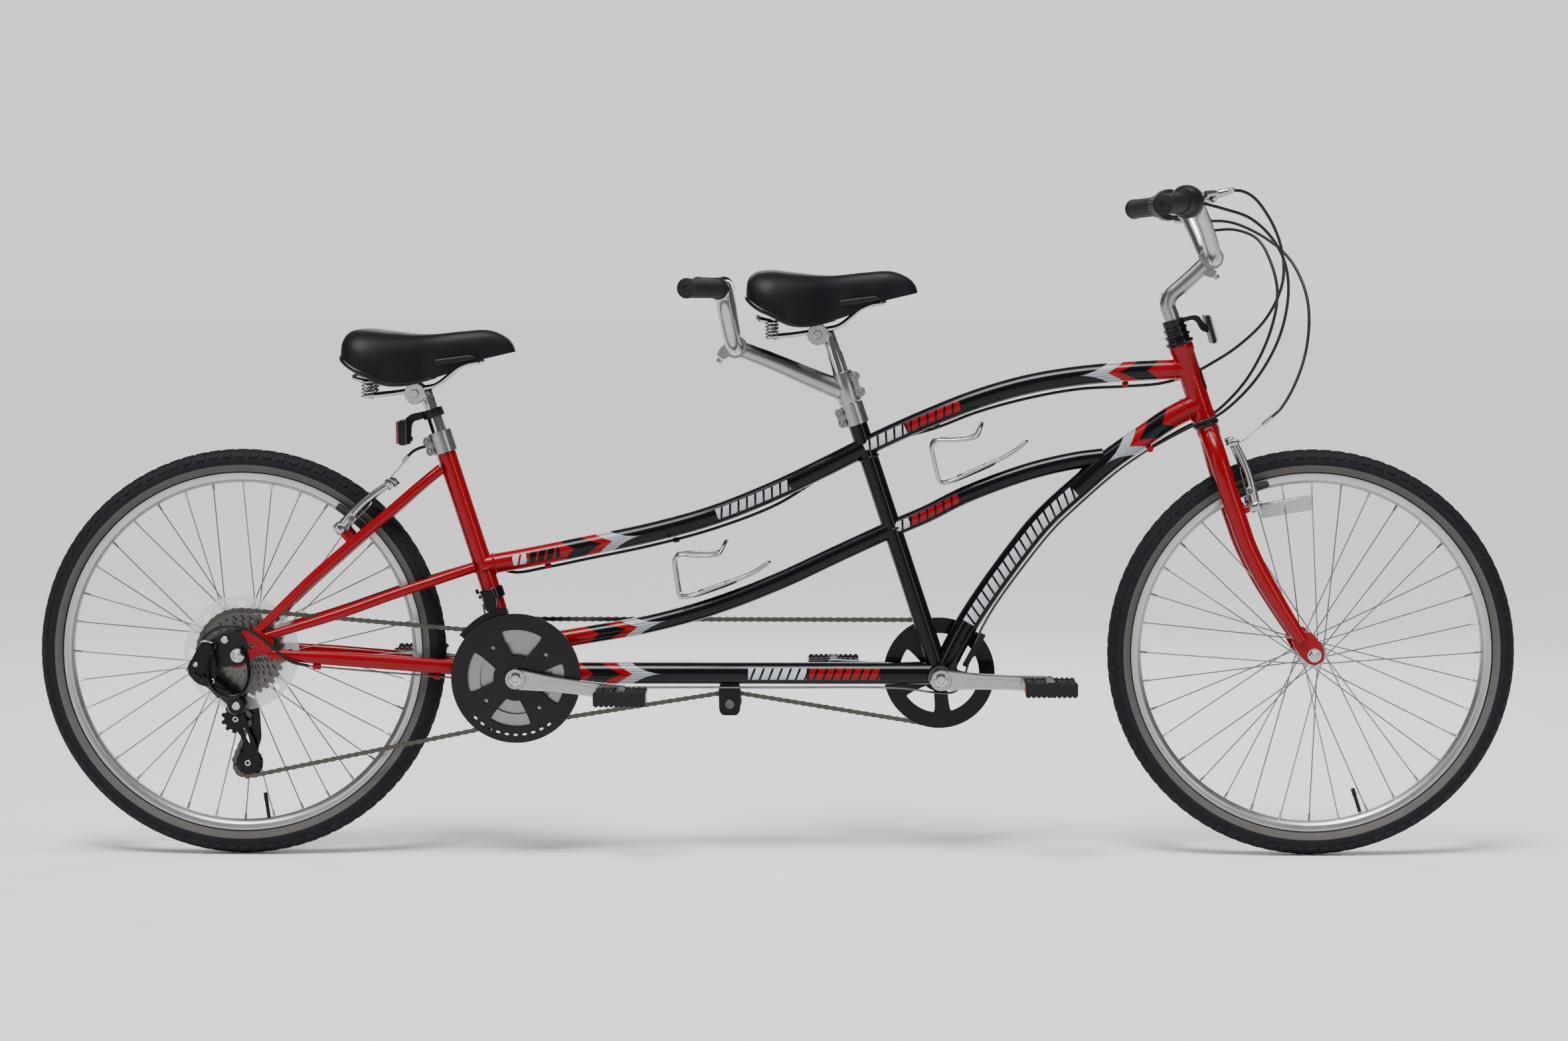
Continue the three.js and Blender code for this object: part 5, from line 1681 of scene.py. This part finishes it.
idlerShapes = [
    lathe(
        [
            (0, 8.4), (5, 8.4), (5, 42), (18.4, 42), (18.6, 43.6), (9.4, 43.8), (9.4, 52.2), (18.6, 52.4),
            (18.4, 54), (7, 54), (6, 56), (0, 56)
        ],
        (idlerAt[0], 0, idlerAt[2]), (0, 1, 0), 32
    ),
]
addPiece("idler", idlerShapes, blackPlastic, "idler", ["timing_idler"])
addPiece(
    "idlerBolt", [boltHead((idlerAt[0], 2, idlerAt[2]), (0, -1, 0), 7.5, 5)], darkSteel, "frame"
)
print("chains built")

# gear changers
bodyShapes = [
    plate(
        rounded(
            [
                (-932, 300), (-916, 334), (-904, 348), (-890, 345), (-884, 322), (-882, 300), (-890, 274),
                (-914, 280)
            ],
            0.2
        ),
        -90, -76, rim=2
    ),
    sweep([(-908, -86, 296), (-884, -72, 276), (-862, -58, 254)], [12, 13, 13.5], 20, 5, 0.8),
    sweep([(-922, -88, 300), (-900, -80, 284), (-880, -66, 262)], [6, 7, 8], 16, 5),
    lathe(
        [(0, 41), (13, 41), (16.5, 43), (17, 50), (16, 62), (13, 66), (0, 66)], (-856, 0, 244), (0, -1, 0), 32
    ),
]
addPiece(
    "rearChanger_body", bodyShapes, blackPaint, "rear_derailleur", ["derailleur_body"],
    bevel=0.6
)
changerBolts = [
    boltHead((-872, -75.5, 350), (0, -1, 0), 6, 5), boltHead((-856, -66, 244), (0, -1, 0), 6.5, 4),
    rod((-930, -84, 300), (-922, -84, 318), 3.4, 12), rod((-892, -76, 345), (-906, -92, 352), 4.6, 16),
    boltHead((-916, -90, 312), (0, -1, 0), 4, 3), boltHead((-890, -90, 286), (0, -1, 0), 4, 3),
]
addPiece("rearChanger_bolts", changerBolts, chrome, "rear_derailleur")
hoop = [
    sweep(
        [
            (-884, -78, 344), (-892, -90, 322), (-896, -98, 296), (-884, -101, 272), (-862, -100, 262),
            (-842, -97, 268), (-832, -90, 290), (-836, -80, 318), (-846, -78, 338)
        ],
        3, 14, 6
    )
]
addPiece("rearChanger_hoop", hoop, blackPaint, "rear_derailleur")
cage = [
    (-876, 232), (-868, 250), (-850, 258), (-832, 252), (-824, 235), (-822, 205), (-821, 188), (-828, 168),
    (-818, 154), (-821, 134), (-840, 124), (-860, 126), (-868, 140), (-862, 158), (-852, 176), (-853, 200),
    (-875, 212)
]
nearCage = [
    (-876, 226), (-868, 240), (-852, 238), (-844, 222), (-840, 205), (-831, 186), (-826, 168), (-824, 150),
    (-832, 136), (-848, 134), (-858, 144), (-856, 158), (-846, 168), (-848, 184), (-858, 200), (-874, 210)
]
slot = rounded([(-843, 180), (-837, 180), (-844, 204), (-852, 208)], 0.25)
cageShapes = [
    plate(rounded(nearCage, 0.2), -40.6, -38.6, [slot], 0.4),
    plate(rounded(cage, 0.2), -27.4, -25.4, [circle((-842, 150), 7, 20), slot], 0.4)
]
addPiece("rearChanger_cage", cageShapes, blackPaint, "derailleur_cage", ["derailleur_cage"])
for name, at in (("guide", guideAt), ("tension", tensionAt)):
    centre = (at[0], 0, at[2])
    disc = [
        moved(
            plate(
                toothed(11, height=1.2), -35.2, -30.8,
                [circle((0, 0), 4, 16), *[circle(polar(72 * k, 11), 3, 12) for k in range(5)]], 0.3
            ),
            at[0], 0, at[2]
        )
    ]
    addPiece("pulley_" + name, disc, blackPlastic, name + "_pulley", [name + "_pulley"])
    bolt = [
        rod((at[0], -41, at[2]), (at[0], -25, at[2]), 3, 14),
        boltHead((at[0], -40.6, at[2]), (0, -1, 0), 5, 2.6)
    ]
    addPiece("pulleyBolt_" + name, bolt, chrome, "derailleur_cage")

pivot = Vector(onRearSeat(-237))
clampShape = [
    lathe(
        [(15.6, -9), (18.4, -9), (19.2, -8), (19.2, 8), (18.4, 9), (15.6, 9)], pivot, rearSeatUp, 40,
        closed=True
    ),
    rod((pivot.x - 2, -15, pivot.z), (pivot.x - 2, -33, pivot.z + 2), 8, 20),
    boltHead((pivot.x - 21, -8, pivot.z + 4), (-0.95, 0, -0.31), 4, 5),
]
addPiece("frontChanger_clamp", clampShape, blackPaint, "frame", ["front_derailleur_clamp"])


def cageWall(low, high, inner, first, last):
    centre = (stokerAxle[0], stokerAxle[2])
    outside = [polar(first + (last - first) * i / 12, 113, centre) for i in range(13)]
    inside = [polar(last + (first - last) * i / 12, inner, centre) for i in range(13)]
    return plate(outside + inside, low, high, rim=0.3)


frontCage = [
    cageWall(-57.4, -55.8, 91, 98, 143), cageWall(-40.2, -38.6, 84, 98, 143),
    cageWall(-57.2, -38.8, 110.8, 98, 117),
    rod((pivot.x - 2, -56, pivot.z + 2), (pivot.x - 2, -34, pivot.z + 2), 8, 20),
    plate(
        rounded(
            [
                (pivot.x - 12, pivot.z + 8), (pivot.x + 8, pivot.z + 9), (pivot.x + 13, pivot.z - 24),
                (pivot.x - 8, pivot.z - 26)
            ],
            0.2
        ),
        -56.6, -42, rim=1.5
    ),
    boltHead((pivot.x - 14, -44, pivot.z - 2), (-1, 0, 0), 3.4, 4),
]
addPiece(
    "frontChanger_cage", frontCage, blackPaint, "front_derailleur", ["front_derailleur_cage"]
)
print("gear changers built")


# bottle cages
def cageWire(x, z, slope):
    half = [
        (150, 7, 9), (120, 11, 2), (60, 13, 1), (12, 15, 1), (1, 20, 6), (2, 26, 20), (6, 31, 42),
        (12, 35, 64), (22, 36, 69), (45, 37, 60), (70, 37, 52), (82, 34, 50), (94, 22, 60), (100, 0, 66)
    ]
    points = half + [(a, -y, h) for a, y, h in reversed(half[:-1])]
    wire = [sweep(points, 3.0, 12, 5), sweep([(149, -9, 9), (153, 0, 10), (149, 9, 9)], 3.0, 12)]
    base = [plate(rounded([(18, -4.4), (94, -4.4), (94, 1.6), (18, 1.6)], 0.2), -15, 15, rim=0.8)]
    bolts = [boltHead((a, 0, 1.4), (0, 0, 1), 4.6, 3) for a in (34, 78)]
    put = lambda shapes: [moved(turned(s, -slope), x, 0, z) for s in shapes]
    return put(wire), put(base), put(bolts)


for name, place in (("front", (262, 591.5, 23.5)), ("rear", (-152, 409, 19.3))):
    wire, base, bolts = cageWire(*place)
    addPiece("bottleCage_" + name, wire, brightAlloy, "frame", [name + "_bottle_cage"])
    addPiece("bottleCageBase_" + name, base, blackPlastic, "frame")
    addPiece("bottleCageBolts_" + name, bolts, darkSteel, "frame")

# cables
cables = {
    "frontBrake": [
        (703, 170, 1013), (722, 162, 1013), (745, 148, 1008), (785, 116, 987), (820, 80, 955), (840, 50, 915),
        (848, 25, 870), (842, 0, 810), (822, -25, 755), (798, -40, 716), (782, -47, 702)
    ],
    "rearBrakeLoop": [
        (704, -171, 1057), (722, -163, 1056), (742, -150, 1046), (772, -118, 1010), (793, -80, 965),
        (799, -35, 912), (777, 8, 855), (735, 27, 812), (692, 28, 784), (655, 27, 764)
    ],
    "rearBrakeRun": [
        (655, 27, 764), (610, 20, 753), (555, 8, 749), (480, 6, 744.5), (400, 6, 730), (320, 6, 708),
        (255, 8, 683), (190, 21, 663), (130, 22, 634), (70, 19, 602), (0, 7, 560), (-100, 6, 521.5),
        (-200, 6, 494.5), (-300, 6, 473.5), (-365, 6, 460), (-420, 13, 451), (-450, 27, 461), (-468, 28, 490),
        (-490, 26, 540), (-512, 26, 600), (-530, 25, 638), (-547, 21, 652), (-566, 19, 651), (-582, 27, 644),
        (-592, 34, 635)
    ],
    "rearShiftLoop": [
        (663, -189, 1036), (692, -171, 1029), (735, -150, 1015), (772, -122, 985), (797, -90, 945),
        (806, -60, 895), (795, -42, 830), (765, -33, 770), (728, -29, 727), (697, -28, 703), (663, -27, 689),
        (630, -24, 672), (599, -8, 653.5)
    ],
    "frontShiftLoop": [
        (655, 185, 1017), (672, 178, 1004), (700, 166, 998), (740, 148, 999), (775, 122, 984), (795, 96, 945),
        (803, 72, 895), (788, 50, 830), (755, 38, 765), (718, 31, 722), (690, 29, 700), (655, 27, 684),
        (625, 20, 668), (599, 7, 653.5)
    ],
    "rearShiftEnd": [
        (-742, -58, 307), (-768, -75, 316), (-792, -85, 336), (-818, -91, 359), (-845, -95, 372),
        (-872, -96, 373), (-894, -95, 362), (-905, -93, 352)
    ],
}
bare = {
    "rearShiftRun": [
        (599, -8, 653.5), (543, -7, 614), (485, -7, 563.5), (444, -7, 524), (397, -7, 466), (342, -7, 388),
        (313, -7, 330), (301, -7, 288), (286, -8, 262), (256, -9, 260), (200, -9, 267), (0, -9, 268),
        (-200, -9, 268), (-370, -9, 266), (-412, -9, 262.5), (-442, -14, 268), (-480, -27, 281),
        (-540, -36, 288), (-640, -46, 297), (-742, -58, 307)
    ],
    "frontShiftRun": [
        (599, 7, 653.5), (543, 7, 614), (485, 7, 563.5), (444, 7, 524), (397, 7, 466), (342, 7, 388),
        (313, 7, 330), (301, 7, 288), (286, 4, 262), (256, -2, 260), (200, -3, 267), (0, -3, 268),
        (-200, -3, 268), (-370, 0, 266), (-412, 4, 261.5), (-434, 6, 262), (-447, 8, 275), (-455, 8, 300),
        (-460, 8, 340), (-467, 8, 385), (-470, 8, 400)
    ],
}
bend = ("steering", "frame", (0.7, 0, 0.99), (0.7, 0, 0.75))
howHeld = {"rearBrakeLoop": bend, "rearShiftLoop": bend, "frontShiftLoop": bend,
           "rearShiftEnd": ("frame", "rear_derailleur", (-0.8, 0, 0.36), (-0.9, 0, 0.36))}
standsFor = {
    "frontBrake": "front_brake_cable", "rearBrakeRun": "rear_brake_cable", "rearShiftRun": "rear_shift_cable",
    "frontShiftRun": "front_shift_cable"
}
for name, route in {**cables, **bare}.items():
    radius = 1.5 if name in bare else 2.5
    body = "steering" if name == "frontBrake" else "frame"
    finish = darkSteel if name in bare else cableSheath
    stands = [standsFor[name]] if name in standsFor else ()
    addPiece(
        "cable_" + name, [sweep(route, radius, 12, 8)], finish, body, stands,
        blend=howHeld.get(name)
    )


def noodle(points, sleeve):
    return [sweep(points, 1.0, 8, 4), rod(sleeve[0], sleeve[1], 3.2, 14)]


addPiece(
    "cableEnd_front",
    noodle(
        [(782, -47, 702), (766, -44, 688), (744, -38, 668), (726, -33, 657)],
        ((783, -47, 703), (768, -45, 690))
    ),
    brightAlloy, "steering"
)
addPiece(
    "cableEnd_rear",
    noodle([(-592, 34, 635), (-606, 35, 616), (-618, 34, 604)], ((-590, 33, 637), (-599, 34, 626))),
    brightAlloy, "frame"
)
print("cables built")


# floor
def addFloor():
    finish = Finish("paleFloor", (0.86, 0.86, 0.87), 0.6)
    finish.feed("Base Color", finish.mix(finish.noise(1.2, 2), (0.85, 0.85, 0.86), (0.88, 0.88, 0.89)))
    size = studio["floorSize"]
    mesh = bpy.data.meshes.new("floor")
    mesh.from_pydata(
        [(-size, -size, 0), (size, -size, 0), (size, size, 0), (-size, size, 0)], [], [(0, 1, 2, 3)]
    )
    floor = bpy.data.objects.new("floor", mesh)
    bpy.context.scene.collection.objects.link(floor)
    mesh.materials.append(finish.material)
    floor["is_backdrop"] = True
    world = bpy.data.worlds.new("studio")
    world.use_nodes = True
    tree = world.node_tree
    seen = tree.nodes.new("ShaderNodeLightPath")  # the backdrop is lit apart from the room
    level = tree.nodes.new("ShaderNodeMapRange")
    level.inputs["To Min"].default_value, level.inputs["To Max"].default_value = studio["world"], studio[
        "backdrop"
    ]
    tree.links.new(seen.outputs["Is Camera Ray"], level.inputs["Value"])
    tree.links.new(level.outputs[0], tree.nodes["Background"].inputs["Strength"])
    tree.nodes["Background"].inputs["Color"].default_value = (1, 1, 1, 1)
    bpy.context.scene.world = world


addFloor()
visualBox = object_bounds()
plain = lambda box: [[round(v, 5) for v in corner] for corner in box]
{"cad": plain(cadBox), "visual": plain(visualBox)}
print("cad", plain(cadBox), "visual", plain(visualBox))
